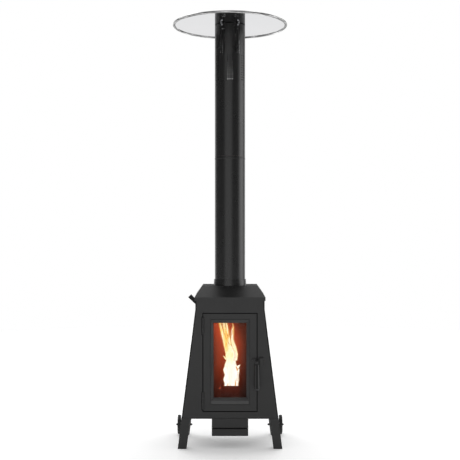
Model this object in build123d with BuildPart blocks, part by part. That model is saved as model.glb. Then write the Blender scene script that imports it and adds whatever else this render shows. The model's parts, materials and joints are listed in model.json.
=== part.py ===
from build123d import *
import os
from math import cos, radians, sin

# Pellet-burning patio heater: a tapered firebox on four splayed legs, a glazed door, an ash
# drawer, a rear hopper, a tall flue and a round polished reflector.
# Millimetres. +Z is up, the door faces -Y, and the origin is on the floor on the flue's axis.

os.makedirs("parts", exist_ok=True)

# ---------------------------------------------------------------- driving dimensions
PANEL = 3.0  # body plates and legs
SHEET = 2.0  # folded sheet: roof, hopper, chute, drawer
RUN = 0.06  # radial clearance of a running fit
EASE = 0.5  # clearance of a loose hole or slot

HALF_DEPTH = 171.0  # body, front to back
BODY_Z = 154.0  # underside of the base plate
KNEE_Z = 712.0  # where the tapered sides turn upright
BODY_TOP_Z = 768.0
BASE_HALF = 247.7  # half width at the base
BAND_HALF = 177.0  # half width above the knee
TAPER = (BASE_HALF - BAND_HALF) / (KNEE_Z - BODY_Z)

EAVE_Z = 756.0
EAVE_HALF_X = 181.3
EAVE_HALF_Y = 174.3
LIP_HEIGHT = 18.0
ROOF_TOP_Z = 827.0
ROOF_TOP_HALF_X = 144.5
ROOF_TOP_HALF_Y = 90.0

FLUE_R = 80.0
FLUE_WALL = 1.5
FLUE_FOOT_Z = ROOF_TOP_Z + SHEET
FLUE_JOINT_Z = 1506.0
FLUE_TOP_Z = 2198.5
THROAT_R = 75.0

DISC_R = 294.0
DISC_Z = 2201.0  # underside of the reflector
DISC_SHEET = 1.5
RIM_R = 6.5  # rolled bead around the reflector

LEG_WIDTH = 45.0
LEG_DEPTH = 40.0

DOOR_Z = (193.6, 690.3)
DOOR_HALF = 136.3
DOOR_GAP = 3.0
DOOR_DEPTH = 14.0
HINGE_X = -(DOOR_HALF + DOOR_GAP / 2)
HINGE_Y = -(HALF_DEPTH + 1.0)
HINGE_CENTRES = (245.0, 628.0)
HINGE_LENGTH = 84.0
KNUCKLE_R = 5.5
PIN_R = 3.0

LATCH_X = 124.0
LATCH_Z = 449.0
GRIP_X = 136.0
GRIP_Y = -205.0

DAMPER_Z = 735.0
SHAFT_R = 5.0

AXLE_Y = 151.0
AXLE_Z = 54.0
AXLE_R = 3.0
WHEEL_R = 51.5
WHEEL_X = 269.0  # inner face
WHEEL_WIDTH = 16.0

ASH_HALF = 93.0
ASH_BOTTOM_Z = 66.0
ASH_SPLIT_Z = 108.0
ASH_BACK = 60.0

FRONT = -HALF_DEPTH
BACK = HALF_DEPTH
FLOOR_Z = BODY_Z + PANEL
SIDES = ((-1, "left"), (1, "right"))


# ---------------------------------------------------------------- helpers
def half_width(z):
    """Half width of the tapered body, and of the legs below it, at height z."""
    return BASE_HALF - (z - BODY_Z) * TAPER


def block(x, y, z, mode=Mode.ADD):
    """A box given by its (low, high) spans."""
    centre = ((x[0] + x[1]) / 2, (y[0] + y[1]) / 2, (z[0] + z[1]) / 2)
    with Locations(centre):
        Box(x[1] - x[0], y[1] - y[0], z[1] - z[0], mode=mode)


def slab(points, y, mode=Mode.ADD):
    """An outline drawn in X and Z, extruded over the span y."""
    with BuildSketch(Plane.XZ.offset(-y[0])) as outline:
        Polygon(*points)
    extrude(outline.sketch, amount=y[0] - y[1], mode=mode)


def profile(points, x, mode=Mode.ADD):
    """An outline drawn in Y and Z, extruded over the span x."""
    with BuildSketch(Plane.YZ.offset(x[0])) as outline:
        Polygon(*points)
    extrude(outline.sketch, amount=x[1] - x[0], mode=mode)


def rod(start, direction, radius, length, mode=Mode.ADD):
    """A cylinder from start along direction."""
    with Locations(Plane(start, z_dir=direction)):
        Cylinder(radius, length, align=(Align.CENTER, Align.CENTER, Align.MIN), mode=mode)


def hexagon(start, direction, across_flats, height):
    """A hexagonal prism from start along direction."""
    with BuildSketch(Plane(start, z_dir=direction)) as outline:
        RegularPolygon(across_flats / 2, 6, major_radius=False)
    extrude(outline.sketch, amount=height)


def tube(outer, inner, z):
    """A round tube around the flue axis over the span z."""
    rod((0, 0, z[0]), (0, 0, 1), outer, z[1] - z[0])
    rod((0, 0, z[0]), (0, 0, 1), inner, z[1] - z[0], mode=Mode.SUBTRACT)


def spoke(angle, radius, z):
    """The point at a radius and angle around the flue axis."""
    return (radius * cos(radians(angle)), radius * sin(radians(angle)), z)


def outward(angle):
    """The radial direction at an angle around the flue axis."""
    return (cos(radians(angle)), sin(radians(angle)), 0)


def save(part, name):
    part.label = name
    export_step(part, f"parts/{name}.step")


# ---------------------------------------------------------------- body shell
ASH_OPENING = 45.0  # half side of the square drop through the base plate
LEG_BOLT_R = 4.0
LEG_BOLT_X = (216.0, 235.0)
LEG_BOLT_Y = 150.0
leg_bolt_places = [
    (side * x, end * LEG_BOLT_Y) for side in (-1, 1) for end in (-1, 1) for x in LEG_BOLT_X
]

with BuildPart() as base_plate:
    block((-BASE_HALF, BASE_HALF), (FRONT, BACK), (BODY_Z, FLOOR_Z))
    block((-ASH_OPENING, ASH_OPENING), (-ASH_OPENING, ASH_OPENING), (BODY_Z, FLOOR_Z), Mode.SUBTRACT)
    for x, y in leg_bolt_places:
        rod((x, y, BODY_Z), (0, 0, 1), LEG_BOLT_R + EASE / 2, PANEL, Mode.SUBTRACT)
save(base_plate.part, "base_plate")

END_OUTLINE = [
    (-half_width(FLOOR_Z), FLOOR_Z),
    (half_width(FLOOR_Z), FLOOR_Z),
    (BAND_HALF, KNEE_Z),
    (BAND_HALF, BODY_TOP_Z),
    (-BAND_HALF, BODY_TOP_Z),
    (-BAND_HALF, KNEE_Z),
]
OPENING_HALF = DOOR_HALF + DOOR_GAP
OPENING_Z = (DOOR_Z[0] - DOOR_GAP, DOOR_Z[1] + DOOR_GAP)
BARREL_NOTCH = KNUCKLE_R + 0.9  # half width of the notch around a hinge barrel
NOTCH_END = 2.5

ROOF_SCREW_R = 2.0
ROOF_SCREW_Z = 763.0
ROOF_SCREW_OFFSET = 100.0

with BuildPart() as front_panel:
    slab(END_OUTLINE, (FRONT, FRONT + PANEL))
    block((-OPENING_HALF, OPENING_HALF), (FRONT, FRONT + PANEL), OPENING_Z, Mode.SUBTRACT)
    for centre in HINGE_CENTRES:
        notch_z = (centre - HINGE_LENGTH / 2 - NOTCH_END, centre + HINGE_LENGTH / 2 + NOTCH_END)
        block((HINGE_X - BARREL_NOTCH, HINGE_X), (FRONT, FRONT + PANEL), notch_z, Mode.SUBTRACT)
save(front_panel.part, "front_panel")

CHUTE_HALF = 37.0
CHUTE_FLOOR_Z = 430.0  # chute floor where it leaves the hopper
CHUTE_HEIGHT = 66.0
CHUTE_END_Y = 46.0
CHUTE_SLACK = 1.0

with BuildPart() as rear_panel:
    slab(END_OUTLINE, (BACK - PANEL, BACK))
    rear_slot = (CHUTE_FLOOR_Z - PANEL - CHUTE_SLACK, CHUTE_FLOOR_Z + CHUTE_HEIGHT + CHUTE_SLACK)
    rear_slot_x = (-CHUTE_HALF - EASE, CHUTE_HALF + EASE)
    block(rear_slot_x, (BACK - PANEL, BACK), rear_slot, Mode.SUBTRACT)
    for x in (-ROOF_SCREW_OFFSET, ROOF_SCREW_OFFSET):
        rod((x, BACK - PANEL, ROOF_SCREW_Z), (0, 1, 0), ROOF_SCREW_R + RUN, PANEL, Mode.SUBTRACT)
save(rear_panel.part, "rear_panel")

BUSH_R = 7.0
for side, word in SIDES:
    outline = [
        (side * half_width(FLOOR_Z), FLOOR_Z),
        (side * BAND_HALF, KNEE_Z),
        (side * BAND_HALF, BODY_TOP_Z),
        (side * (BAND_HALF - PANEL), BODY_TOP_Z),
        (side * (BAND_HALF - PANEL), KNEE_Z),
        (side * (half_width(FLOOR_Z) - PANEL), FLOOR_Z),
    ]
    with BuildPart() as side_panel:
        slab(outline, (FRONT + PANEL, BACK - PANEL))
        for y in (-ROOF_SCREW_OFFSET, ROOF_SCREW_OFFSET):
            start = (side * (BAND_HALF - PANEL), y, ROOF_SCREW_Z)
            rod(start, (side, 0, 0), ROOF_SCREW_R + RUN, PANEL, Mode.SUBTRACT)
        if word == "left":
            rod((-BAND_HALF, 0, DAMPER_Z), (1, 0, 0), BUSH_R, PANEL, Mode.SUBTRACT)
    save(side_panel.part, f"side_panel_{word}")

THROAT_SLACK = 0.2
with BuildPart() as top_plate:
    block((-BAND_HALF, BAND_HALF), (FRONT, BACK), (BODY_TOP_Z, BODY_TOP_Z + PANEL))
    rod((0, 0, BODY_TOP_Z), (0, 0, 1), THROAT_R + THROAT_SLACK, PANEL, Mode.SUBTRACT)
save(top_plate.part, "top_plate")


# ---------------------------------------------------------------- roof
def roof_solid(inset):
    """The closed roof shape, moved in by inset on every side."""
    slope_run = ROOF_TOP_Z - EAVE_Z - LIP_HEIGHT
    rise = inset / 2
    eave = (2 * (EAVE_HALF_X - inset), 2 * (EAVE_HALF_Y - inset))
    crown = (2 * (ROOF_TOP_HALF_X - rise), 2 * (ROOF_TOP_HALF_Y - rise))
    with BuildPart() as solid:
        with BuildSketch(Plane.XY.offset(EAVE_Z)):
            Rectangle(*eave)
        extrude(amount=LIP_HEIGHT - rise)
        with BuildSketch(Plane.XY.offset(EAVE_Z + LIP_HEIGHT - rise)):
            Rectangle(*eave)
        with BuildSketch(Plane.XY.offset(EAVE_Z + LIP_HEIGHT + slope_run - inset)):
            Rectangle(*crown)
        loft()
    return solid.part


roof_hollow = roof_solid(SHEET)
with BuildPart() as roof_cap:
    add(roof_solid(0))
    add(roof_hollow, mode=Mode.SUBTRACT)
    rod((0, 0, EAVE_Z), (0, 0, 1), THROAT_R + THROAT_SLACK, ROOF_TOP_Z - EAVE_Z, Mode.SUBTRACT)
    for side in (-1, 1):
        for y in (-ROOF_SCREW_OFFSET, ROOF_SCREW_OFFSET):
            start = (side * (EAVE_HALF_X - SHEET), y, ROOF_SCREW_Z)
            rod(start, (side, 0, 0), ROOF_SCREW_R + RUN, SHEET, Mode.SUBTRACT)
    for x in (-ROOF_SCREW_OFFSET, ROOF_SCREW_OFFSET):
        rod((x, EAVE_HALF_Y - SHEET, ROOF_SCREW_Z), (0, 1, 0), ROOF_SCREW_R + RUN, SHEET, Mode.SUBTRACT)
save(roof_cap.part, "roof_cap")

SCREW_HEAD_R = 3.8
SCREW_HEAD = 2.0
SCREW_TAIL = 3.0
with BuildPart() as roof_screw_set:
    for side in (-1, 1):
        for y in (-ROOF_SCREW_OFFSET, ROOF_SCREW_OFFSET):
            tail = BAND_HALF - PANEL - SCREW_TAIL
            shank = EAVE_HALF_X - tail
            rod((side * tail, y, ROOF_SCREW_Z), (side, 0, 0), ROOF_SCREW_R, shank)
            rod((side * EAVE_HALF_X, y, ROOF_SCREW_Z), (side, 0, 0), SCREW_HEAD_R, SCREW_HEAD)
    for x in (-ROOF_SCREW_OFFSET, ROOF_SCREW_OFFSET):
        tail = BACK - PANEL - SCREW_TAIL
        rod((x, tail, ROOF_SCREW_Z), (0, 1, 0), ROOF_SCREW_R, EAVE_HALF_Y - tail)
        rod((x, EAVE_HALF_Y, ROOF_SCREW_Z), (0, 1, 0), SCREW_HEAD_R, SCREW_HEAD)

# ---------------------------------------------------------------- flue
COLLAR_FOOT_R = 86.3
COLLAR_TOP_R = 84.0
COLLAR_HEIGHT = 31.0
COLLAR_LEDGE_R = 76.0
FIT = 0.05
BEAD_Z = 1495.0
BEAD_HALF = 6.0
BEAD_PROUD = 1.0
COUPLER_WALL = 1.2
COUPLER_HALF = 40.0
FLUE_SCREW_R = 1.75
FLUE_SCREW_ANGLES = (30, 90, 150)
COLLAR_SCREW_Z = 843.0
COLLAR_HEAD_R = 85.4  # where the collar screws' heads sit
JOINT_SCREW_Z = (FLUE_JOINT_Z - 28.0, FLUE_JOINT_Z + 22.0)
coupler_r = FLUE_R - FLUE_WALL - FIT


def screw_holes(z, from_radius, length):
    """Holes for the flue screws at one height."""
    for angle in FLUE_SCREW_ANGLES:
        start = spoke(angle, from_radius, z)
        rod(start, outward(angle), FLUE_SCREW_R + RUN, length, Mode.SUBTRACT)


with BuildPart() as flue_collar:
    with BuildSketch(Plane.XZ):
        Polygon(
            (COLLAR_LEDGE_R, ROOF_TOP_Z),
            (COLLAR_FOOT_R, ROOF_TOP_Z),
            (COLLAR_TOP_R, ROOF_TOP_Z + COLLAR_HEIGHT),
            (FLUE_R + FIT, ROOF_TOP_Z + COLLAR_HEIGHT),
            (FLUE_R + FIT, FLUE_FOOT_Z),
            (COLLAR_LEDGE_R, FLUE_FOOT_Z),
        )
    revolve(axis=Axis.Z)
    screw_holes(COLLAR_SCREW_Z, FLUE_R - FLUE_WALL, COLLAR_FOOT_R - FLUE_R + FLUE_WALL)
save(flue_collar.part, "flue_collar")

with BuildPart() as lower_flue:
    with BuildSketch(Plane.XZ):
        with BuildLine():
            Line((FLUE_R - FLUE_WALL, FLUE_FOOT_Z), (FLUE_R, FLUE_FOOT_Z))
            Line((FLUE_R, FLUE_FOOT_Z), (FLUE_R, BEAD_Z - BEAD_HALF))
            ThreePointArc(
                (FLUE_R, BEAD_Z - BEAD_HALF), (FLUE_R + BEAD_PROUD, BEAD_Z), (FLUE_R, BEAD_Z + BEAD_HALF)
            )
            Line((FLUE_R, BEAD_Z + BEAD_HALF), (FLUE_R, FLUE_JOINT_Z - EASE))
            Line((FLUE_R, FLUE_JOINT_Z - EASE), (FLUE_R - FLUE_WALL, FLUE_JOINT_Z - EASE))
            Line((FLUE_R - FLUE_WALL, FLUE_JOINT_Z - EASE), (FLUE_R - FLUE_WALL, FLUE_FOOT_Z))
        make_face()
    revolve(axis=Axis.Z)
    screw_holes(COLLAR_SCREW_Z, FLUE_R - 2 * FLUE_WALL, 2 * FLUE_WALL)
    screw_holes(JOINT_SCREW_Z[0], FLUE_R - 2 * FLUE_WALL, 2 * FLUE_WALL)
save(lower_flue.part, "lower_flue")

with BuildPart() as flue_coupler:
    tube(coupler_r, coupler_r - COUPLER_WALL, (FLUE_JOINT_Z - COUPLER_HALF, FLUE_JOINT_Z + COUPLER_HALF))
    for z in JOINT_SCREW_Z:
        screw_holes(z, coupler_r - 2 * COUPLER_WALL, 3 * COUPLER_WALL)
save(flue_coupler.part, "flue_coupler")

# Smoke outlets: six patches of round holes in each of two zones. The upper zone's patches
# stand over the gaps of the lower zone's.
VENT_R = 3.2
VENT_ROWS = 11
VENT_ROW_PITCH = 12.5
VENT_COLUMNS = 3
VENT_COLUMN_ANGLE = 9.0
VENT_PATCHES = 6
VENT_ZONES = ((1907.0, -90), (2046.0, -60))  # lowest row and one patch's angle
VENT_CUT = 2 * FLUE_WALL
vent_planes = []
for low_z, first_angle in VENT_ZONES:
    for patch in range(VENT_PATCHES):
        for column in range(VENT_COLUMNS):
            angle = first_angle + patch * 360 / VENT_PATCHES
            angle += (column - (VENT_COLUMNS - 1) / 2) * VENT_COLUMN_ANGLE
            for row in range(VENT_ROWS):
                centre = spoke(angle, FLUE_R - FLUE_WALL / 2, low_z + row * VENT_ROW_PITCH)
                vent_planes.append(Plane(centre, z_dir=outward(angle)))

BRACKET_ANGLES = (-120, -60, 90)
BRACKET_BOLT_Z = FLUE_TOP_Z - 9.0
BRACKET_BOLT_R = 2.0

with BuildPart() as upper_flue:
    tube(FLUE_R, FLUE_R - FLUE_WALL, (FLUE_JOINT_Z + EASE, FLUE_TOP_Z))
    with Locations(*vent_planes):
        Cylinder(VENT_R, VENT_CUT, mode=Mode.SUBTRACT)
    screw_holes(JOINT_SCREW_Z[1], FLUE_R - 2 * FLUE_WALL, 2 * FLUE_WALL)
    for angle in BRACKET_ANGLES:
        start = spoke(angle, FLUE_R - 2 * FLUE_WALL, BRACKET_BOLT_Z)
        rod(start, outward(angle), BRACKET_BOLT_R + RUN, 2 * FLUE_WALL, Mode.SUBTRACT)
save(upper_flue.part, "upper_flue")

with BuildPart() as self_tapping_screws:
    add(roof_screw_set.part)
    for z, head_r in zip((COLLAR_SCREW_Z, *JOINT_SCREW_Z), (COLLAR_HEAD_R, FLUE_R, FLUE_R)):
        for angle in FLUE_SCREW_ANGLES:
            tail_r = FLUE_R - SCREW_TAIL - FLUE_WALL
            rod(spoke(angle, tail_r, z), outward(angle), FLUE_SCREW_R, head_r - tail_r)
            rod(spoke(angle, head_r + FIT, z), outward(angle), SCREW_HEAD_R, SCREW_HEAD)
            rod(spoke(angle, head_r - FIT, z), outward(angle), FLUE_SCREW_R, 2 * FIT + SCREW_HEAD)
save(self_tapping_screws.part, "self_tapping_screws")

# ---------------------------------------------------------------- reflector
BRACKET_HALF = 8.0
BRACKET_INNER_R = FLUE_R + 0.1
BRACKET_OUTER_R = BRACKET_INNER_R + SHEET
BRACKET_TAB_R = 101.0
BRACKET_FOOT_Z = 2181.0
TAB_BOLT_R = 92.0
TAB_BOLT_SHANK_R = 2.0
RIM_CENTRE_R = DISC_R + 1.5
rim_centre_z = DISC_Z + DISC_SHEET / 2

with BuildPart() as reflector_disc:
    rod((0, 0, DISC_Z), (0, 0, 1), DISC_R, DISC_SHEET)
    for angle in BRACKET_ANGLES:
        rod(spoke(angle, TAB_BOLT_R, DISC_Z), (0, 0, 1), TAB_BOLT_SHANK_R + RUN, DISC_SHEET, Mode.SUBTRACT)
save(reflector_disc.part, "reflector_disc")

with BuildPart() as reflector_rim:
    with BuildSketch(Plane.XZ):
        with Locations((RIM_CENTRE_R, rim_centre_z)):
            Circle(RIM_R)
    revolve(axis=Axis.Z)
    rod((0, 0, DISC_Z - FIT), (0, 0, 1), DISC_R + FIT, DISC_SHEET + 2 * FIT, Mode.SUBTRACT)
save(reflector_rim.part, "reflector_rim")


def bracket_frame(angle):
    """A plane at the flue axis whose X runs outward at the angle."""
    return Plane((0, 0, 0), x_dir=outward(angle), z_dir=(0, 0, 1))


with BuildPart() as reflector_brackets:
    for angle in BRACKET_ANGLES:
        with Locations(bracket_frame(angle)):
            strap_mid = (BRACKET_FOOT_Z + DISC_Z) / 2
            with Locations((BRACKET_INNER_R + SHEET / 2, 0, strap_mid)):
                Box(SHEET, 2 * BRACKET_HALF, DISC_Z - BRACKET_FOOT_Z)
            with Locations(((BRACKET_INNER_R + BRACKET_TAB_R) / 2, 0, DISC_Z - SHEET / 2)):
                Box(BRACKET_TAB_R - BRACKET_INNER_R, 2 * BRACKET_HALF, SHEET)
        start = spoke(angle, BRACKET_INNER_R - SHEET, BRACKET_BOLT_Z)
        rod(start, outward(angle), BRACKET_BOLT_R + RUN, 3 * SHEET, Mode.SUBTRACT)
        start = spoke(angle, TAB_BOLT_R, DISC_Z - SHEET)
        rod(start, (0, 0, 1), TAB_BOLT_SHANK_R + RUN, SHEET, Mode.SUBTRACT)
save(reflector_brackets.part, "reflector_brackets")

NUT_FLATS = 7.0
NUT_HEIGHT = 3.2
NUT_GAP = 0.2  # between a flat nut and the curved wall of the flue
BOLT_HEAD_R = 4.0
BOLT_HEAD = 2.4
BOLT_TAIL = 1.5  # thread showing past a nut
with BuildPart() as reflector_bolts:
    for angle in BRACKET_ANGLES:
        nut_r = FLUE_R - FLUE_WALL - NUT_GAP - NUT_HEIGHT
        tail_r = nut_r - BOLT_TAIL
        shank = BRACKET_OUTER_R - tail_r
        rod(spoke(angle, tail_r, BRACKET_BOLT_Z), outward(angle), BRACKET_BOLT_R, shank)
        hexagon(spoke(angle, nut_r, BRACKET_BOLT_Z), outward(angle), NUT_FLATS, NUT_HEIGHT)
        rod(spoke(angle, BRACKET_OUTER_R, BRACKET_BOLT_Z), outward(angle), BOLT_HEAD_R, BOLT_HEAD)
        nut_z = DISC_Z - SHEET - NUT_HEIGHT
        tail_z = nut_z - BOLT_TAIL
        rod(spoke(angle, TAB_BOLT_R, tail_z), (0, 0, 1), TAB_BOLT_SHANK_R, DISC_Z + DISC_SHEET - tail_z)
        hexagon(spoke(angle, TAB_BOLT_R, nut_z), (0, 0, 1), NUT_FLATS, NUT_HEIGHT)
        rod(spoke(angle, TAB_BOLT_R, DISC_Z + DISC_SHEET), (0, 0, 1), BOLT_HEAD_R, BOLT_HEAD)
save(reflector_bolts.part, "reflector_bolts")

# ---------------------------------------------------------------- legs
TAB_Z = (BODY_Z - PANEL, BODY_Z)
AXLE_HOLE_R = AXLE_R + 0.1


def leg_outline(side, from_outer, to_outer, z):
    """A slanted strip between two distances in from the leg's outer edge."""
    return [
        (side * (half_width(z[0]) - from_outer), z[0]),
        (side * (half_width(z[1]) - from_outer), z[1]),
        (side * (half_width(z[1]) - to_outer), z[1]),
        (side * (half_width(z[0]) - to_outer), z[0]),
    ]


def depth_span(end, near, far):
    """The span between two distances in from the front (end -1) or rear (end 1) face."""
    return tuple(sorted((end * (HALF_DEPTH - near), end * (HALF_DEPTH - far))))


for end, place in ((-1, "front"), (1, "rear")):
    for side, word in SIDES:
        with BuildPart() as leg:
            height = (0, BODY_Z)
            slab(leg_outline(side, 0, LEG_WIDTH, height), depth_span(end, 0, PANEL))
            slab(leg_outline(side, 0, PANEL, height), depth_span(end, 0, LEG_DEPTH))
            slab(leg_outline(side, LEG_WIDTH - PANEL, LEG_WIDTH, height), depth_span(end, 0, LEG_DEPTH))
            slab(leg_outline(side, 0, LEG_WIDTH, (0, PANEL)), depth_span(end, 0, LEG_DEPTH))
            slab(leg_outline(side, 0, LEG_WIDTH, TAB_Z), depth_span(end, 0, LEG_DEPTH))
            for x in LEG_BOLT_X:
                start = (side * x, end * LEG_BOLT_Y, TAB_Z[0])
                rod(start, (0, 0, 1), LEG_BOLT_R + EASE / 2, PANEL, Mode.SUBTRACT)
            if place == "rear":
                start = (side * (BASE_HALF - LEG_WIDTH), AXLE_Y, AXLE_Z)
                rod(start, (side, 0, 0), AXLE_HOLE_R, 2 * LEG_WIDTH, Mode.SUBTRACT)
        save(leg.part, f"leg_{place}_{word}")

LEG_HEAD_FLATS = 13.0
LEG_HEAD = 5.3
LEG_NUT = 6.5
with BuildPart() as leg_bolts:
    for x, y in leg_bolt_places:
        hexagon((x, y, TAB_Z[0] - LEG_HEAD), (0, 0, 1), LEG_HEAD_FLATS, LEG_HEAD)
        rod((x, y, TAB_Z[0]), (0, 0, 1), LEG_BOLT_R, 2 * PANEL + LEG_NUT + BOLT_TAIL)
        hexagon((x, y, FLOOR_Z), (0, 0, 1), LEG_HEAD_FLATS, LEG_NUT)
save(leg_bolts.part, "leg_bolts")

# ---------------------------------------------------------------- wheels
TYRE_INNER_R = 41.0
TYRE_ROUND = 4.0
RIM_INNER_R = 34.0
BOSS_R = 12.0
WEB = 5.0
WINDOW_R = 7.5
WINDOW_PITCH_R = 23.0
WINDOWS = 5
AXLE_INNER_X = 202.5
AXLE_OUTER_X = 294.1
WASHER_R = 6.5
WASHER = 1.2
AXLE_FLATS = 10.0
AXLE_NUT = 5.0
SPACER_R = 6.0
SPACER_START = 261.4
head_x = WHEEL_X + WHEEL_WIDTH + EASE + WASHER
AXLE_NUT_GAP = 1.0  # the nut stands clear of the slanted leg
nut_x = half_width(AXLE_Z) - LEG_WIDTH - AXLE_NUT_GAP - AXLE_NUT

for side, word in SIDES:
    wheel_plane = Plane((side * WHEEL_X, AXLE_Y, AXLE_Z), x_dir=(0, 1, 0), z_dir=(side, 0, 0))
    with BuildPart() as tyre:
        with BuildSketch(wheel_plane):
            Circle(WHEEL_R)
            Circle(TYRE_INNER_R, mode=Mode.SUBTRACT)
        extrude(amount=WHEEL_WIDTH)
        outer_edges = tyre.edges().filter_by(GeomType.CIRCLE).sort_by(SortBy.RADIUS)[-2:]
        fillet(outer_edges, TYRE_ROUND)
    save(tyre.part, f"wheel_tyre_{word}")

    with BuildPart() as hub:
        with BuildSketch(wheel_plane):
            Circle(TYRE_INNER_R - FIT)
            Circle(RIM_INNER_R, mode=Mode.SUBTRACT)
        extrude(amount=WHEEL_WIDTH)
        with BuildSketch(wheel_plane.offset((WHEEL_WIDTH - WEB) / 2)):
            Circle(RIM_INNER_R + EASE)
            with PolarLocations(WINDOW_PITCH_R, WINDOWS):
                Circle(WINDOW_R, mode=Mode.SUBTRACT)
        extrude(amount=WEB)
        rod((side * WHEEL_X, AXLE_Y, AXLE_Z), (side, 0, 0), BOSS_R, WHEEL_WIDTH)
        rod((side * WHEEL_X, AXLE_Y, AXLE_Z), (side, 0, 0), AXLE_R + RUN, WHEEL_WIDTH, Mode.SUBTRACT)
    save(hub.part, f"wheel_hub_{word}")

with BuildPart() as wheel_bolts:
    for side in (-1, 1):
        out = (side, 0, 0)
        rod((side * AXLE_INNER_X, AXLE_Y, AXLE_Z), out, AXLE_R, head_x - AXLE_INNER_X)
        hexagon((side * head_x, AXLE_Y, AXLE_Z), out, AXLE_FLATS, AXLE_OUTER_X - head_x)
save(wheel_bolts.part, "wheel_bolts")

with BuildPart() as wheel_fasteners:
    for side in (-1, 1):
        out = (side, 0, 0)
        hexagon((side * nut_x, AXLE_Y, AXLE_Z), out, AXLE_FLATS, AXLE_NUT)
        rod((side * (head_x - WASHER), AXLE_Y, AXLE_Z), out, WASHER_R, WASHER)
        rod((side * SPACER_START, AXLE_Y, AXLE_Z), out, SPACER_R, WHEEL_X - EASE - SPACER_START)
        bore_start = (side * AXLE_INNER_X, AXLE_Y, AXLE_Z)
        rod(bore_start, out, AXLE_R + RUN, AXLE_OUTER_X - AXLE_INNER_X, Mode.SUBTRACT)
save(wheel_fasteners.part, "wheel_fasteners")

# ---------------------------------------------------------------- fixed door fittings
STOP_WALL_HALF = 148.0
STOP_OVERLAP = 14.0  # how far the stop flange reaches in behind the door
STOP_BACK_Y = -146.0
stop_inner_half = DOOR_HALF - STOP_OVERLAP
stop_grow = STOP_WALL_HALF - OPENING_HALF
stop_z = (OPENING_Z[0] - stop_grow, OPENING_Z[1] + stop_grow)
stop_inner_z = (DOOR_Z[0] + STOP_OVERLAP, DOOR_Z[1] - STOP_OVERLAP)

with BuildPart() as door_stop_frame:
    block((-STOP_WALL_HALF, STOP_WALL_HALF), (FRONT + PANEL, STOP_BACK_Y), stop_z)
    wall_in = STOP_WALL_HALF - SHEET
    wall_z = (stop_z[0] + SHEET, stop_z[1] - SHEET)
    block((-wall_in, wall_in), (FRONT + PANEL, STOP_BACK_Y - SHEET), wall_z, Mode.SUBTRACT)
    block((-stop_inner_half, stop_inner_half), (FRONT, STOP_BACK_Y), stop_inner_z, Mode.SUBTRACT)
save(door_stop_frame.part, "door_stop_frame")

KNUCKLE_GAP = 0.5
FIXED_LEAF_X = HINGE_X - 1.2  # where the fixed leaf meets its knuckle
FIXED_BORE = 0.02  # radial clearance where a pin stays put
KNUCKLE_LENGTH = (HINGE_LENGTH - 2 * KNUCKLE_GAP) / 3
LEAF_Y = (FRONT + PANEL, FRONT + PANEL + SHEET)
body_leaf_x = (-STOP_WALL_HALF + SHEET + FIT, FIXED_LEAF_X)
body_neck_x = (HINGE_X - KNUCKLE_R + EASE, FIXED_LEAF_X)


def knuckle_starts(centre, slots):
    """The low ends of the knuckles in the given slots (0 lowest) of one hinge."""
    low = centre - HINGE_LENGTH / 2
    return [low + slot * (KNUCKLE_LENGTH + KNUCKLE_GAP) for slot in slots]


with BuildPart() as hinge_knuckles:
    for centre in HINGE_CENTRES:
        for low in knuckle_starts(centre, (0, 2)):
            z = (low, low + KNUCKLE_LENGTH)
            rod((HINGE_X, HINGE_Y, low), (0, 0, 1), KNUCKLE_R, KNUCKLE_LENGTH)
            block(body_neck_x, (HINGE_Y, LEAF_Y[1]), z)
            block(body_leaf_x, LEAF_Y, z)
            rod((HINGE_X, HINGE_Y, low), (0, 0, 1), PIN_R + FIXED_BORE, KNUCKLE_LENGTH, Mode.SUBTRACT)
save(hinge_knuckles.part, "hinge_knuckles")

PIN_HEAD_R = 4.5
PIN_HEAD = 1.5
with BuildPart() as hinge_pins:
    for centre in HINGE_CENTRES:
        low = centre - HINGE_LENGTH / 2
        rod((HINGE_X, HINGE_Y, low - PIN_HEAD), (0, 0, 1), PIN_R, HINGE_LENGTH + PIN_HEAD)
        rod((HINGE_X, HINGE_Y, low + HINGE_LENGTH), (0, 0, 1), PIN_HEAD_R, PIN_HEAD)
save(hinge_pins.part, "hinge_pins")

CATCH_X = (149.0, 170.0)
CATCH_Y = (-186.0, FRONT)
CATCH_Z = (427.0, 466.0)
CATCH_ROUND = 1.5
CATCH_POCKET_X = 12.0
CATCH_POCKET_Y = (-181.0, -172.5)
CATCH_POCKET_HALF = 9.0
with BuildPart() as catch_block:
    block(CATCH_X, CATCH_Y, CATCH_Z)
    front_edges = catch_block.faces().sort_by(Axis.Y)[0].edges()
    fillet(front_edges, CATCH_ROUND)
    pocket_x = (CATCH_X[0], CATCH_X[0] + CATCH_POCKET_X)
    pocket_z = (LATCH_Z - CATCH_POCKET_HALF, LATCH_Z + CATCH_POCKET_HALF)
    block(pocket_x, CATCH_POCKET_Y, pocket_z, Mode.SUBTRACT)
save(catch_block.part, "catch_block")

# ---------------------------------------------------------------- firebox
LINER_HALF = 130.0
LINER_THICK = 10.0
LINER_FRONT_Y = -140.0
LINER_BACK_Y = 120.0
SHELF_Z = 650.0
for side, word in SIDES:
    with BuildPart() as liner:
        x = sorted((side * LINER_HALF, side * (LINER_HALF + LINER_THICK)))
        block(x, (LINER_FRONT_Y, LINER_BACK_Y + LINER_THICK), (FLOOR_Z, SHELF_Z))
    save(liner.part, f"liner_{word}")

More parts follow.
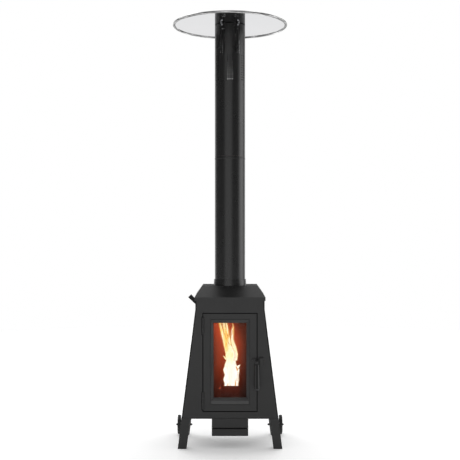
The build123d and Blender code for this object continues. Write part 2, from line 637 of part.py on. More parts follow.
back_slot_low = CHUTE_FLOOR_Z - (HALF_DEPTH - LINER_BACK_Y) - CHUTE_SLACK
back_slot_high = CHUTE_FLOOR_Z - (HALF_DEPTH - LINER_BACK_Y) + LINER_THICK + CHUTE_HEIGHT + CHUTE_SLACK
with BuildPart() as liner_back:
    block((-LINER_HALF, LINER_HALF), (LINER_BACK_Y, LINER_BACK_Y + LINER_THICK), (FLOOR_Z, SHELF_Z))
    slot_y = (LINER_BACK_Y, LINER_BACK_Y + LINER_THICK)
    block(rear_slot_x, slot_y, (back_slot_low, back_slot_high), Mode.SUBTRACT)
save(liner_back.part, "liner_back")

liner_edge = LINER_HALF + LINER_THICK
with BuildPart() as smoke_shelf:
    shelf_y = (LINER_FRONT_Y, LINER_BACK_Y + LINER_THICK)
    block((-liner_edge, liner_edge), shelf_y, (SHELF_Z, SHELF_Z + PANEL))
    rod((0, 0, SHELF_Z), (0, 0, 1), THROAT_R - FLUE_WALL, PANEL, Mode.SUBTRACT)
save(smoke_shelf.part, "smoke_shelf")

THROAT_FLANGE_R = 90.0
THROAT_TOP_Z = 850.0
throat_low = SHELF_Z + PANEL
with BuildPart() as flue_throat:
    tube(THROAT_FLANGE_R, THROAT_R - FLUE_WALL, (throat_low, throat_low + SHEET))
    tube(THROAT_R, THROAT_R - FLUE_WALL, (throat_low, THROAT_TOP_Z))
    rod((-THROAT_R, 0, DAMPER_Z), (1, 0, 0), SHAFT_R + RUN, 2 * THROAT_R, Mode.SUBTRACT)
save(flue_throat.part, "flue_throat")

STAND_HALF = 48.0
STAND_FLANGE_HALF = 62.0
POT_Z = (212.0, 300.0)
POT_WALL = 3.0
POT_LEDGE = 10.0
AIR_HOLE_R = 3.0
AIR_HOLE_PITCH = 18.0
AIR_HOLE_ROWS = (238.0, 256.0, 274.0)
AIR_HOLE_COLUMNS = 5
with BuildPart() as pot_stand:
    flange_span = (-STAND_FLANGE_HALF, STAND_FLANGE_HALF)
    block(flange_span, flange_span, (FLOOR_Z, FLOOR_Z + SHEET))
    block((-STAND_HALF, STAND_HALF), (-STAND_HALF, STAND_HALF), (FLOOR_Z, POT_Z[0]))
    stand_in = STAND_HALF - SHEET
    block((-stand_in, stand_in), (-stand_in, stand_in), (FLOOR_Z, POT_Z[0]), Mode.SUBTRACT)
save(pot_stand.part, "pot_stand")

pot_in = STAND_HALF - POT_WALL
ledge_in = STAND_HALF - POT_LEDGE
with BuildPart() as burn_pot:
    block((-STAND_HALF, STAND_HALF), (-STAND_HALF, STAND_HALF), POT_Z)
    block((-pot_in, pot_in), (-pot_in, pot_in), (POT_Z[0] + POT_WALL, POT_Z[1]), Mode.SUBTRACT)
    block((-ledge_in, ledge_in), (-ledge_in, ledge_in), POT_Z, Mode.SUBTRACT)
    for z in AIR_HOLE_ROWS:
        for step in range(AIR_HOLE_COLUMNS):
            offset_along = (step - (AIR_HOLE_COLUMNS - 1) / 2) * AIR_HOLE_PITCH
            rod((offset_along, -STAND_HALF, z), (0, 1, 0), AIR_HOLE_R, 2 * STAND_HALF, Mode.SUBTRACT)
            rod((-STAND_HALF, offset_along, z), (1, 0, 0), AIR_HOLE_R, 2 * STAND_HALF, Mode.SUBTRACT)
save(burn_pot.part, "burn_pot")

GRATE = 4.0
GRATE_SLOT = 4.0
GRATE_SLOTS = 7
GRATE_PITCH = 10.0
GRATE_SLOT_HALF = 33.0
GRATE_SLACK = 0.2
with BuildPart() as burn_grate:
    grate_low = POT_Z[0] + POT_WALL
    grate_half = pot_in - GRATE_SLACK
    block((-grate_half, grate_half), (-grate_half, grate_half), (grate_low, grate_low + GRATE))
    for step in range(GRATE_SLOTS):
        slot_mid = (step - (GRATE_SLOTS - 1) / 2) * GRATE_PITCH
        slot_x = (slot_mid - GRATE_SLOT / 2, slot_mid + GRATE_SLOT / 2)
        block(slot_x, (-GRATE_SLOT_HALF, GRATE_SLOT_HALF), (grate_low, grate_low + GRATE), Mode.SUBTRACT)
save(burn_grate.part, "burn_grate")


# ---------------------------------------------------------------- hopper and chute
def chute_outline(inset):
    """The sloping chute seen from the side, upright at both ends."""
    drop = HALF_DEPTH - CHUTE_END_Y
    low = CHUTE_FLOOR_Z + inset
    high = CHUTE_FLOOR_Z + CHUTE_HEIGHT - inset
    return [
        (CHUTE_END_Y, low - drop),
        (HALF_DEPTH, low),
        (HALF_DEPTH, high),
        (CHUTE_END_Y, high - drop),
    ]


DIAGONAL = sin(radians(45))
SLOPED_SHEET = SHEET / DIAGONAL  # the sheet's thickness measured upright on a 45 degree slope
with BuildPart() as pellet_chute:
    profile(chute_outline(0), (-CHUTE_HALF, CHUTE_HALF))
    chute_inner = CHUTE_HALF - SHEET
    profile(chute_outline(SLOPED_SHEET), (-chute_inner, chute_inner), Mode.SUBTRACT)
save(pellet_chute.part, "pellet_chute")

HOPPER_HALF = 118.0
HOPPER_BACK = 292.0
HOPPER_TOP_Z = 744.0
hopper_depth = HOPPER_BACK - HALF_DEPTH
hopper_low = CHUTE_FLOOR_Z - SHEET
with BuildPart() as hopper:
    hopper_outline = [
        (HALF_DEPTH, hopper_low),
        (HALF_DEPTH, HOPPER_TOP_Z),
        (HOPPER_BACK, HOPPER_TOP_Z),
        (HOPPER_BACK, hopper_low + hopper_depth),
    ]
    profile(hopper_outline, (-HOPPER_HALF, HOPPER_HALF))
    hopper_inner = HOPPER_HALF - SHEET
    hollow_low = hopper_low + SHEET + SLOPED_SHEET
    hopper_hollow = [
        (HALF_DEPTH + SHEET, hollow_low),
        (HALF_DEPTH + SHEET, HOPPER_TOP_Z),
        (HOPPER_BACK - SHEET, HOPPER_TOP_Z),
        (HOPPER_BACK - SHEET, hollow_low + hopper_depth - 2 * SHEET),
    ]
    profile(hopper_hollow, (-hopper_inner, hopper_inner), Mode.SUBTRACT)
    mouth_z = (hollow_low, CHUTE_FLOOR_Z + CHUTE_HEIGHT - 2 * SHEET)
    block((-chute_inner, chute_inner), (HALF_DEPTH, HALF_DEPTH + SHEET), mouth_z, Mode.SUBTRACT)
save(hopper.part, "hopper")

LID_HINGE_Y = 180.0
LID_HINGE_Z = 751.5
LID_KNUCKLE_R = 4.0
LID_PIN_R = 2.0
LID_HALF = 121.5
LID_Y = (177.0, 295.5)
LID_Z = (745.0, 747.0)
LID_SKIRT = 12.0
LID_KNUCKLE = 20.0
LID_HINGE_X = 85.0  # middle of each of the two lid hinges
LID_PIN_HALF = 3 * LID_KNUCKLE / 2 + 1
LID_STRAP_Y = (HALF_DEPTH + SHEET, LID_HINGE_Y - 1.0)
LID_STRAP_Z = (LID_Z[0] - 10.0, LID_Z[0] - 3.0)
LID_LEAF = 22.0
LID_NOTCH_EASE = 1.0


def lid_knuckle_spans(slots):
    """X spans of the lid hinge knuckles in the given slots (-1, 0, 1)."""
    spans = []
    for hinge in (-LID_HINGE_X, LID_HINGE_X):
        for slot in slots:
            mid = hinge + slot * (LID_KNUCKLE + KNUCKLE_GAP)
            spans.append((mid - LID_KNUCKLE / 2, mid + LID_KNUCKLE / 2))
    return spans


with BuildPart() as lid_hinge:
    for x in lid_knuckle_spans((-1, 1)):
        rod((x[0], LID_HINGE_Y, LID_HINGE_Z), (1, 0, 0), LID_KNUCKLE_R, x[1] - x[0])
        block(x, (LID_HINGE_Y - LID_KNUCKLE_R, LID_STRAP_Y[1]), (LID_STRAP_Z[0], LID_HINGE_Z))
        block(x, LID_STRAP_Y, LID_STRAP_Z)
        start = (x[0], LID_HINGE_Y, LID_HINGE_Z)
        rod(start, (1, 0, 0), LID_PIN_R + FIXED_BORE, x[1] - x[0], Mode.SUBTRACT)
    for hinge in (-LID_HINGE_X, LID_HINGE_X):
        start = (hinge - LID_PIN_HALF, LID_HINGE_Y, LID_HINGE_Z)
        rod(start, (1, 0, 0), LID_PIN_R, 2 * LID_PIN_HALF)
save(lid_hinge.part, "lid_hinge")

with BuildPart() as hopper_lid:
    block((-LID_HALF, LID_HALF), LID_Y, LID_Z)
    skirt_z = (LID_Z[1] - LID_SKIRT, LID_Z[1])
    block((-LID_HALF, -LID_HALF + SHEET), LID_Y, skirt_z)
    block((LID_HALF - SHEET, LID_HALF), LID_Y, skirt_z)
    block((-LID_HALF, LID_HALF), (LID_Y[1] - SHEET, LID_Y[1]), skirt_z)
    for x in lid_knuckle_spans((-1, 1)):
        notch_x = (x[0] - LID_NOTCH_EASE, x[1] + LID_NOTCH_EASE)
        block(notch_x, (LID_Y[0], LID_HINGE_Y + LID_KNUCKLE_R), LID_Z, Mode.SUBTRACT)
    for x in lid_knuckle_spans((0,)):
        rod((x[0], LID_HINGE_Y, LID_HINGE_Z), (1, 0, 0), LID_KNUCKLE_R, x[1] - x[0])
        block(x, (LID_HINGE_Y, LID_HINGE_Y + LID_LEAF), (LID_Z[1], LID_Z[1] + SHEET))
        start = (x[0], LID_HINGE_Y, LID_HINGE_Z)
        rod(start, (1, 0, 0), LID_PIN_R + RUN, x[1] - x[0], Mode.SUBTRACT)
save(hopper_lid.part, "hopper_lid")

KNOB_Y = 268.0
KNOB_OUTLINE = [(0, 0), (9, 0), (7, 6), (12.5, 9), (13, 13), (9, 16.5), (0, 17)]
with BuildPart() as lid_knob:
    with BuildSketch(Plane((0, KNOB_Y, LID_Z[1]), x_dir=(1, 0, 0), z_dir=(0, -1, 0))):
        Polygon(*KNOB_OUTLINE)
    revolve(axis=Axis((0, KNOB_Y, LID_Z[1]), (0, 0, 1)))
save(lid_knob.part, "lid_knob")

# ---------------------------------------------------------------- ash box
LEDGE_Z = (88.0, 90.0)
LEDGE_REACH = 8.0
with BuildPart() as ash_box_housing:
    block((-ASH_HALF, ASH_HALF), (FRONT, FRONT + SHEET), (ASH_SPLIT_Z, BODY_Z))
    for side in (-1, 1):
        wall_x = sorted((side * ASH_HALF, side * (ASH_HALF - SHEET)))
        ledge_x = sorted((side * ASH_HALF, side * (ASH_HALF - SHEET - LEDGE_REACH)))
        block(wall_x, (FRONT + SHEET, ASH_BACK), (LEDGE_Z[0], BODY_Z))
        block(ledge_x, (FRONT + SHEET, ASH_BACK), LEDGE_Z)
    block((-ASH_HALF, ASH_HALF), (ASH_BACK - SHEET, ASH_BACK), (ASH_BOTTOM_Z, BODY_Z))
save(ash_box_housing.part, "ash_box_housing")

TRAY_HALF = 80.0
TRAY_Z = (68.0, 92.5)
TRAY_BACK = 56.0
TRAY_WALL = 1.5
FRONT_TOP_Z = 104.0
LIP_DEPTH = 4.0
LIP = 3.0
DRAWER_SLACK = 0.8
with BuildPart() as ash_drawer:
    tray_y = (FRONT + SHEET, TRAY_BACK)
    block((-TRAY_HALF, TRAY_HALF), tray_y, TRAY_Z)
    inner = TRAY_HALF - TRAY_WALL
    inner_y = (tray_y[0], TRAY_BACK - TRAY_WALL)
    block((-inner, inner), inner_y, (TRAY_Z[0] + TRAY_WALL, TRAY_Z[1]), Mode.SUBTRACT)
    for side in (-1, 1):
        flange_x = sorted((side * (TRAY_HALF - TRAY_WALL), side * (ASH_HALF - SHEET - DRAWER_SLACK)))
        block(flange_x, tray_y, (LEDGE_Z[1] + EASE, TRAY_Z[1]))
    block((-ASH_HALF, ASH_HALF), (FRONT, FRONT + SHEET), (ASH_BOTTOM_Z, FRONT_TOP_Z))
    block((-ASH_HALF, ASH_HALF), (FRONT - LIP_DEPTH, FRONT), (FRONT_TOP_Z - LIP, FRONT_TOP_Z))
save(ash_drawer.part, "ash_drawer")

# ---------------------------------------------------------------- flue damper
BUSH_FLANGE_R = 11.0
BUSH_NOSE = 3.0  # reach past the inside of the wall
with BuildPart() as damper_bushing:
    rod((-BAND_HALF - SHEET, 0, DAMPER_Z), (1, 0, 0), BUSH_FLANGE_R, SHEET)
    rod((-BAND_HALF, 0, DAMPER_Z), (1, 0, 0), BUSH_R, PANEL + BUSH_NOSE)
    bush_length = SHEET + PANEL + BUSH_NOSE
    rod((-BAND_HALF - SHEET, 0, DAMPER_Z), (1, 0, 0), SHAFT_R + RUN, bush_length, Mode.SUBTRACT)
save(damper_bushing.part, "damper_bushing")

LEVER_START_X = -(BAND_HALF + SHEET + 1.0)
SHAFT_END_X = THROAT_R + 4.0
with BuildPart() as damper_shaft:
    rod((LEVER_START_X, 0, DAMPER_Z), (1, 0, 0), SHAFT_R, SHAFT_END_X - LEVER_START_X)
save(damper_shaft.part, "damper_shaft")

DAMPER_R = 71.5
with BuildPart() as damper_plate:
    rod((0, SHAFT_R, DAMPER_Z), (0, 1, 0), DAMPER_R, SHEET)
save(damper_plate.part, "damper_plate")

# The lever leans out at 45 degrees and starts square to the body's side.
LEVER_HALF = 11.0
LEVER_THICK = 16.0
LEVER_REACH = 49.0  # from the wall to the middle of its far end
lever_root = (-(BAND_HALF + SHEET), DAMPER_Z)
lever_tip = (lever_root[0] - LEVER_REACH * DIAGONAL, lever_root[1] + LEVER_REACH * DIAGONAL)
lever_side = LEVER_HALF * DIAGONAL
lever_rise = LEVER_HALF / DIAGONAL - (lever_root[0] - LEVER_START_X)
with BuildPart() as damper_lever:
    lever_outline = [
        (LEVER_START_X, lever_root[1] + lever_rise),
        (lever_tip[0] + lever_side, lever_tip[1] + lever_side),
        (lever_tip[0] - lever_side, lever_tip[1] - lever_side),
        (LEVER_START_X, lever_root[1] - lever_rise + SHEET),
    ]
    slab(lever_outline, (-LEVER_THICK / 2, LEVER_THICK / 2))
save(damper_lever.part, "damper_lever")

# ---------------------------------------------------------------- door
BEZEL_HALF = 99.2
BEZEL_Z = (225.8, 660.8)
BEZEL_DEPTH = 16.0
WINDOW_HALF = 84.0
WINDOW_Z = (260.5, 642.0)
BEVEL = 13.0
BACKING = 8.0  # the bezel's flange behind the door's front sheet
BACKING_Y = (FRONT + PANEL + EASE, FRONT + PANEL + EASE + SHEET)
GASKET = 2.0
GASKET_INSET = 1.0
GLASS = 5.0
GLASS_HALF = 91.0
GLASS_OVERLAP = GLASS_HALF - WINDOW_HALF
GLASS_Z = (WINDOW_Z[0] - GLASS_OVERLAP, WINDOW_Z[1] + GLASS_OVERLAP)
SEAL_WIDTH = 8.0
SEAL_INSET = 4.0
SEAL_PLAY = 0.2
DOOR_RETURN = 17.0  # width of the door's folded back edge
KNUCKLE_RELIEF = 6.0
DOOR_NECK_X = HINGE_X + 2.0
DOOR_LEAF_X = (HINGE_X + 3.6, HINGE_X + 24.0)
bezel_back = FRONT + BEZEL_DEPTH
glass_front = bezel_back + GASKET
door_back = FRONT + DOOR_DEPTH

with BuildPart() as door_leaf:
    block((-DOOR_HALF, DOOR_HALF), (FRONT, door_back), DOOR_Z)
    wall = DOOR_HALF - SHEET
    hollow_z = (DOOR_Z[0] + SHEET, DOOR_Z[1] - SHEET)
    block((-wall, wall), (FRONT + PANEL, door_back - SHEET), hollow_z, Mode.SUBTRACT)
    flange_half = DOOR_HALF - DOOR_RETURN
    flange_z = (DOOR_Z[0] + DOOR_RETURN, DOOR_Z[1] - DOOR_RETURN)
    block((-flange_half, flange_half), (FRONT + PANEL, door_back), flange_z, Mode.SUBTRACT)
    frame_half = BEZEL_HALF + EASE
    frame_z = (BEZEL_Z[0] - EASE, BEZEL_Z[1] + EASE)
    block((-frame_half, frame_half), (FRONT, door_back), frame_z, Mode.SUBTRACT)
    for centre in HINGE_CENTRES:
        notch_z = (centre - HINGE_LENGTH / 2 - NOTCH_END, centre + HINGE_LENGTH / 2 + NOTCH_END)
        notch_x = (-DOOR_HALF, HINGE_X + BARREL_NOTCH)
        block(notch_x, (FRONT, FRONT + KNUCKLE_RELIEF), notch_z, Mode.SUBTRACT)
    rod((LATCH_X, FRONT, LATCH_Z), (0, 1, 0), SHAFT_R + RUN, PANEL, Mode.SUBTRACT)
save(door_leaf.part, "door_leaf")

with BuildPart() as door_hinge_knuckles:
    for centre in HINGE_CENTRES:
        for low in knuckle_starts(centre, (1,)):
            z = (low, low + KNUCKLE_LENGTH)
            rod((HINGE_X, HINGE_Y, low), (0, 0, 1), KNUCKLE_R, KNUCKLE_LENGTH)
            block((DOOR_NECK_X, HINGE_X + KNUCKLE_R - EASE), (HINGE_Y, LEAF_Y[1]), z)
            block(DOOR_LEAF_X, LEAF_Y, z)
            rod((HINGE_X, HINGE_Y, low), (0, 0, 1), PIN_R + RUN, KNUCKLE_LENGTH, Mode.SUBTRACT)
save(door_hinge_knuckles.part, "door_hinge_knuckles")
window_height = WINDOW_Z[1] - WINDOW_Z[0]
window_mid_z = (WINDOW_Z[0] + WINDOW_Z[1]) / 2
with BuildPart() as window_bevel:
    for grow, y in ((BEVEL, FRONT), (0, FRONT + BEVEL)):
        with BuildSketch(Plane((0, y, window_mid_z), x_dir=(1, 0, 0), z_dir=(0, 1, 0))):
            Rectangle(2 * (WINDOW_HALF + grow), window_height + 2 * grow)
    loft()

with BuildPart() as window_bezel:
    block((-BEZEL_HALF, BEZEL_HALF), (FRONT, bezel_back), BEZEL_Z)
    backing_half = BEZEL_HALF + BACKING
    backing_z = (BEZEL_Z[0] - BACKING, BEZEL_Z[1] + BACKING)
    block((-backing_half, backing_half), BACKING_Y, backing_z)
    block((-WINDOW_HALF, WINDOW_HALF), (FRONT, bezel_back), WINDOW_Z, Mode.SUBTRACT)
    add(window_bevel.part, mode=Mode.SUBTRACT)
save(window_bezel.part, "window_bezel")

with BuildPart() as glass_gasket:
    block((-GLASS_HALF, GLASS_HALF), (bezel_back, glass_front), GLASS_Z)
    gasket_half = WINDOW_HALF + GASKET_INSET
    inner_z = (WINDOW_Z[0] - GASKET_INSET, WINDOW_Z[1] + GASKET_INSET)
    block((-gasket_half, gasket_half), (bezel_back, glass_front), inner_z, Mode.SUBTRACT)
save(glass_gasket.part, "glass_gasket")

with BuildPart() as door_glass:
    block((-GLASS_HALF, GLASS_HALF), (glass_front, glass_front + GLASS), GLASS_Z)
save(door_glass.part, "door_glass")

CLIP_WIDTH = 16.0
CLIP_GAP = 0.8  # between a clip and the edge of the glass
CLIP_FINGER = 5.0  # how far a clip reaches over the glass
CLIP_SCREW_OFFSET = 4.4
CLIP_SCREW_R = 3.0
CLIP_ZS = (300.0, 451.0, 602.0)
clip_back = glass_front + GLASS + SHEET
with BuildPart() as glass_clips:
    for side in (-1, 1):
        for z in CLIP_ZS:
            clip_z = (z - CLIP_WIDTH / 2, z + CLIP_WIDTH / 2)
            foot_x = sorted((side * (GLASS_HALF + CLIP_GAP), side * BEZEL_HALF))
            finger_x = sorted((side * (GLASS_HALF - CLIP_FINGER), side * BEZEL_HALF))
            block(foot_x, (bezel_back, clip_back), clip_z)
            block(finger_x, (glass_front + GLASS, clip_back), clip_z)
            head_start = (side * (GLASS_HALF + CLIP_SCREW_OFFSET), clip_back, z)
            rod(head_start, (0, 1, 0), CLIP_SCREW_R, SHEET)
save(glass_clips.part, "glass_clips")

seal_half = DOOR_HALF - SEAL_INSET
seal_z = (DOOR_Z[0] + SEAL_INSET, DOOR_Z[1] - SEAL_INSET)
with BuildPart() as door_seal:
    seal_y = (door_back, STOP_BACK_Y - SHEET - SEAL_PLAY)
    block((-seal_half, seal_half), seal_y, seal_z)
    inner_half = seal_half - SEAL_WIDTH
    inner_z = (seal_z[0] + SEAL_WIDTH, seal_z[1] - SEAL_WIDTH)
    block((-inner_half, inner_half), seal_y, inner_z, Mode.SUBTRACT)
save(door_seal.part, "door_seal")

# ---------------------------------------------------------------- door handle
HUB_R = 12.0
HUB_Y = (-186.0, -172.0)
TONGUE_HALF = 7.0
TONGUE_Y = (-180.0, -174.0)
SPINDLE_LENGTH = 10.0
TONGUE_END_X = 147.6
ARM_X = (129.0, 143.0)
ARM_Y = (-212.0, -182.0)
ARM_Z = (438.0, 452.0)
CORE_R = 4.0
GRIP_Z = (314.0, 437.5)
GRIP_TOP_R = 11.0
GRIP_FOOT_R = 14.5
CAP_Z = 306.0
CAP_R = 12.5
CAP_SKIN = 2.0

with BuildPart() as door_handle:
    rod((LATCH_X, HUB_Y[0], LATCH_Z), (0, 1, 0), HUB_R, HUB_Y[1] - HUB_Y[0])
    rod((LATCH_X, HUB_Y[1], LATCH_Z), (0, 1, 0), SHAFT_R, SPINDLE_LENGTH)
    block((LATCH_X, TONGUE_END_X), TONGUE_Y, (LATCH_Z - TONGUE_HALF, LATCH_Z + TONGUE_HALF))
    block(ARM_X, ARM_Y, ARM_Z)
    rod((GRIP_X, GRIP_Y, CAP_Z + CAP_SKIN), (0, 0, 1), CORE_R, ARM_Z[0] - CAP_Z)
save(door_handle.part, "door_handle")

with BuildPart() as handle_grip:
    with BuildSketch(Plane((GRIP_X, GRIP_Y, 0), x_dir=(1, 0, 0), z_dir=(0, -1, 0))):
        Polygon(
            (CORE_R + FIT, GRIP_Z[0]),
            (GRIP_FOOT_R, GRIP_Z[0]),
            (GRIP_TOP_R, GRIP_Z[1]),
            (CORE_R + FIT, GRIP_Z[1]),
        )
    revolve(axis=Axis((GRIP_X, GRIP_Y, 0), (0, 0, 1)))
save(handle_grip.part, "handle_grip")

with BuildPart() as handle_cap:
    rod((GRIP_X, GRIP_Y, CAP_Z), (0, 0, 1), CAP_R, GRIP_Z[0] - CAP_Z)
    rod((GRIP_X, GRIP_Y, CAP_Z + CAP_SKIN), (0, 0, 1), CORE_R + FIT, GRIP_Z[0] - CAP_Z, Mode.SUBTRACT)
    chamfer(handle_cap.faces().sort_by(Axis.Z)[0].edges(), CAP_SKIN)
save(handle_cap.part, "handle_cap")
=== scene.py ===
import json
import math
import random

import bmesh
import bpy
from mathutils import Matrix, Vector, noise


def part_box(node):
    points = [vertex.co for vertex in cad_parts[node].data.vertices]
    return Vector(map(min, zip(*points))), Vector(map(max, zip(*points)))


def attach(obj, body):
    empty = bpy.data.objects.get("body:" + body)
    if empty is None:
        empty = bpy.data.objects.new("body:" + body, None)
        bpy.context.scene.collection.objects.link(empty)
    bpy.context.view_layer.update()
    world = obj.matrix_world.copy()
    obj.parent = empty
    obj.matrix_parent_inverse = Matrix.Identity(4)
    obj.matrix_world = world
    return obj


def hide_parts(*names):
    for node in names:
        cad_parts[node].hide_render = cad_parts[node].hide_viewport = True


# A pellet patio heater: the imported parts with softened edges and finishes, a fire behind the
# window, a rope seal, domed axle ends and a wire screen, in a white studio.
# Pieces are in metres; outlines written out below are in millimetres and are scaled by MM.

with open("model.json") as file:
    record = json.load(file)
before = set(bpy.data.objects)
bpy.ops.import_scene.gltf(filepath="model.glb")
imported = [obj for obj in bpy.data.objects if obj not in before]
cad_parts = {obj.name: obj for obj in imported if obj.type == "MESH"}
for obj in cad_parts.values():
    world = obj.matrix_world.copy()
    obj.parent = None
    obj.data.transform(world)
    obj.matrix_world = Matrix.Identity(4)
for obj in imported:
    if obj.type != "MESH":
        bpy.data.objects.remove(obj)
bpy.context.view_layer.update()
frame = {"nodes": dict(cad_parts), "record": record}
NODES = frame["nodes"]
MM = 0.001


# ------------------------------------------------------------------ shader helpers
class Tree:
    """Builds one node tree with short calls."""

    def __init__(self, owner, fresh=True):
        owner.use_nodes = True
        self.tree = owner.node_tree
        if fresh:
            self.tree.nodes.clear()

    def feed(self, socket, value):
        """Links another node's output to a socket, or sets the socket's own value."""
        if isinstance(value, bpy.types.NodeSocket):
            self.tree.links.new(value, socket)
        else:
            socket.default_value = value

    def add(self, kind, inputs=None, **settings):
        made = self.tree.nodes.new("ShaderNode" + kind)
        for key, value in settings.items():
            setattr(made, key, value)
        for key, value in (inputs or {}).items():
            self.feed(made.inputs[key], value)
        return made

    def position(self, scale=(1, 1, 1)):
        """Object-space position times a scale."""
        coords = self.add("TexCoord").outputs["Object"]
        return self.add("Mapping", {"Vector": coords, "Scale": scale}).outputs[0]

    def xyz(self):
        """Object-space position as three values."""
        return self.add("SeparateXYZ", {"Vector": self.position()}).outputs

    def normal(self):
        return self.add("NewGeometry").outputs["Normal"]

    def noise(self, scale, detail=3.0, stretch=(1, 1, 1), rough=0.5, distortion=0.0):
        inputs = {"Vector": self.position(stretch), "Scale": scale, "Detail": detail}
        inputs["Roughness"] = rough
        inputs["Distortion"] = distortion
        return self.add("TexNoise", inputs).outputs["Fac"]

    def ramp(self, value, stops):
        made = self.add("ValToRGB", {"Fac": value})
        elements = made.color_ramp.elements
        while len(elements) < len(stops):
            elements.new(0.5)
        for element, (place, colour) in zip(elements, stops):
            element.position = place
            element.color = (*colour, 1)
        return made.outputs["Color"]

    def span(self, value, low, high, to_low=0.0, to_high=1.0, smooth=False):
        """A value mapped from one range to another, clamped."""
        kind = "SMOOTHSTEP" if smooth else "LINEAR"
        inputs = {"Value": value, "From Min": low, "From Max": high}
        inputs["To Min"] = to_low
        inputs["To Max"] = to_high
        made = self.add("MapRange", inputs, interpolation_type=kind, clamp=True)
        return made.outputs["Result"]

    def math(self, operation, a, b=0.0):
        return self.add("Math", {0: a, 1: b}, operation=operation).outputs[0]

    def mix(self, factor, a, b, blend="MIX"):
        made = self.add("Mix", data_type="RGBA", blend_type=blend)
        for index, value in ((0, factor), (6, a), (7, b)):
            self.feed(made.inputs[index], (*value, 1) if isinstance(value, tuple) else value)
        return made.outputs[2]

    def bump(self, height, strength, distance, normal=None):
        inputs = {"Height": height, "Strength": strength, "Distance": distance}
        if normal is not None:
            inputs["Normal"] = normal
        return self.add("Bump", inputs).outputs["Normal"]

    def finish(self, shader, kind="OutputMaterial"):
        self.feed(self.add(kind).inputs["Surface"], shader)

    def surface(self, inputs):
        """Finishes the material as one principled surface."""
        self.finish(self.add("BsdfPrincipled", inputs).outputs[0])


def material(name):
    made = bpy.data.materials.new(name)
    return made, Tree(made)


def grey(value, blue=1.0):
    return (value, value, value * blue)


# ------------------------------------------------------------------ paint
SOOT = (0.0035, 0.0033, 0.0032)
SOOT_INSIDE = 0.85
SOOT_OUTSIDE = 0.62  # at the flue's top
SMOKED_Z = (2.03, 2.18)  # where soot gathers round the smoke outlets
SOOT_SHINE = 0.22
DUST = (0.075, 0.072, 0.068)
BARE_STEEL = (0.16, 0.155, 0.15)
SHADED_Z = (0.1, 0.8)  # painted shade: the paint reflects less toward the ground over this height
SHADED_SHINE = 0.80


def sooted(t, base_colour, shine):
    """Soot on the flue: thick on its inside, thinner round the smoke outlets near its top."""
    dot = {0: t.position((1, 1, 0)), 1: t.normal()}
    outwards = t.add("VectorMath", dot, operation="DOT_PRODUCT").outputs["Value"]
    inside = t.span(outwards, -0.01, 0.01, SOOT_INSIDE, 0.0)
    patches = t.span(t.noise(9.0, 4.0), 0.3, 0.7, 0.8, 1.1)
    plume = t.math("MULTIPLY", t.span(t.xyz()["Z"], *SMOKED_Z, 0.0, SOOT_OUTSIDE), patches)
    soot = t.math("MAXIMUM", inside, plume)
    colour = t.mix(soot, base_colour, SOOT)
    return colour, t.math("MULTIPLY", shine, t.span(soot, 0.0, 1.0, 1.0, SOOT_SHINE))


def powder_coat(name, base, rough=0.4, grain=1.0, wear=0.0, specular=0.46, mottling=1.0,
                dusty=0.35, soot=False, slope=1.0):
    """Black powder coat: faint mottling, orange peel, settled dust, painted shade toward the ground
    and, if asked, rubbed edges, soot, or less gloss on the faces that slope upward."""
    made, t = material(name)
    mottle = t.noise(7.0, 4.0)
    fine = t.noise(420.0, 2.0)
    speck = t.noise(1400.0, 1.0)
    tone = t.span(mottle, 0.3, 0.7, 1 - 0.14 * mottling, 1 + 0.16 * mottling)
    tint = t.add("CombineColor", {"Red": tone, "Green": tone, "Blue": tone}).outputs[0]
    colour = t.mix(t.span(fine, 0.35, 0.65), grey(base * 0.93), grey(base * 1.07, 1.01))
    colour = t.mix(1.0, colour, tint, "MULTIPLY")
    up = t.add("SeparateXYZ", {"Vector": t.normal()}).outputs["Z"]
    settled = t.span(t.noise(26.0, 5.0), 0.42, 0.75, 0.0, dusty)
    colour = t.mix(t.math("MULTIPLY", t.span(up, 0.5, 1.0), settled), colour, DUST)
    if wear:
        rub = t.span(t.noise(60.0, 5.0, rough=0.7), 0.5, 0.68, 0.0, wear)
        colour = t.mix(rub, colour, BARE_STEEL)
    uneven = (rough - 0.05 * mottling, rough + 0.06 * mottling)
    roughness = t.span(t.noise(14.0, 4.0), 0.3, 0.7, *uneven)
    # painted shade: less reflection toward the ground
    shine = t.span(t.xyz()["Z"], *SHADED_Z, specular * SHADED_SHINE, specular)
    if slope < 1.0:
        shine = t.math("MULTIPLY", shine, t.span(up, 0.1, 0.5, 1.0, slope))
    if soot:
        colour, shine = sooted(t, colour, shine)
    normal = t.bump(fine, 0.16 * grain, 0.0006)
    normal = t.bump(speck, 0.10 * grain, 0.0003, normal)
    inputs = {"Base Color": colour, "Roughness": roughness, "Normal": normal}
    inputs["Specular IOR Level"] = shine
    t.surface(inputs)
    return made


def outlined(name, inside_of, band, **paint):
    """Powder coat with painted shade: dull in a narrow band along a sheet's cut edges, a dark
    outline.
    """
    made = powder_coat(name, **paint)
    t = Tree(made, fresh=False)
    shader = next(n for n in t.tree.nodes if n.type == "BSDF_PRINCIPLED")
    x, _, z = t.xyz()
    inward = inside_of(t, t.math("ABSOLUTE", x), z)
    # painted shade: gloss falls to 0.12 of its strength near the edges, drawing a dark outline
    painted_outline = t.span(inward, band * 0.55, band, 0.12, 1.0, smooth=True)
    shine = shader.inputs["Specular IOR Level"]
    t.feed(shine, t.math("MULTIPLY", shine.links[0].from_socket, painted_outline))
    return made


def inside_panel(t, across, z):
    """Distance in from the front panel's slanting edges."""
    half = t.span(z, PANEL_FOOT.z, PANEL_KNEE.z, PANEL_FOOT.x, PANEL_KNEE.x)
    return t.math("SUBTRACT", half, across)


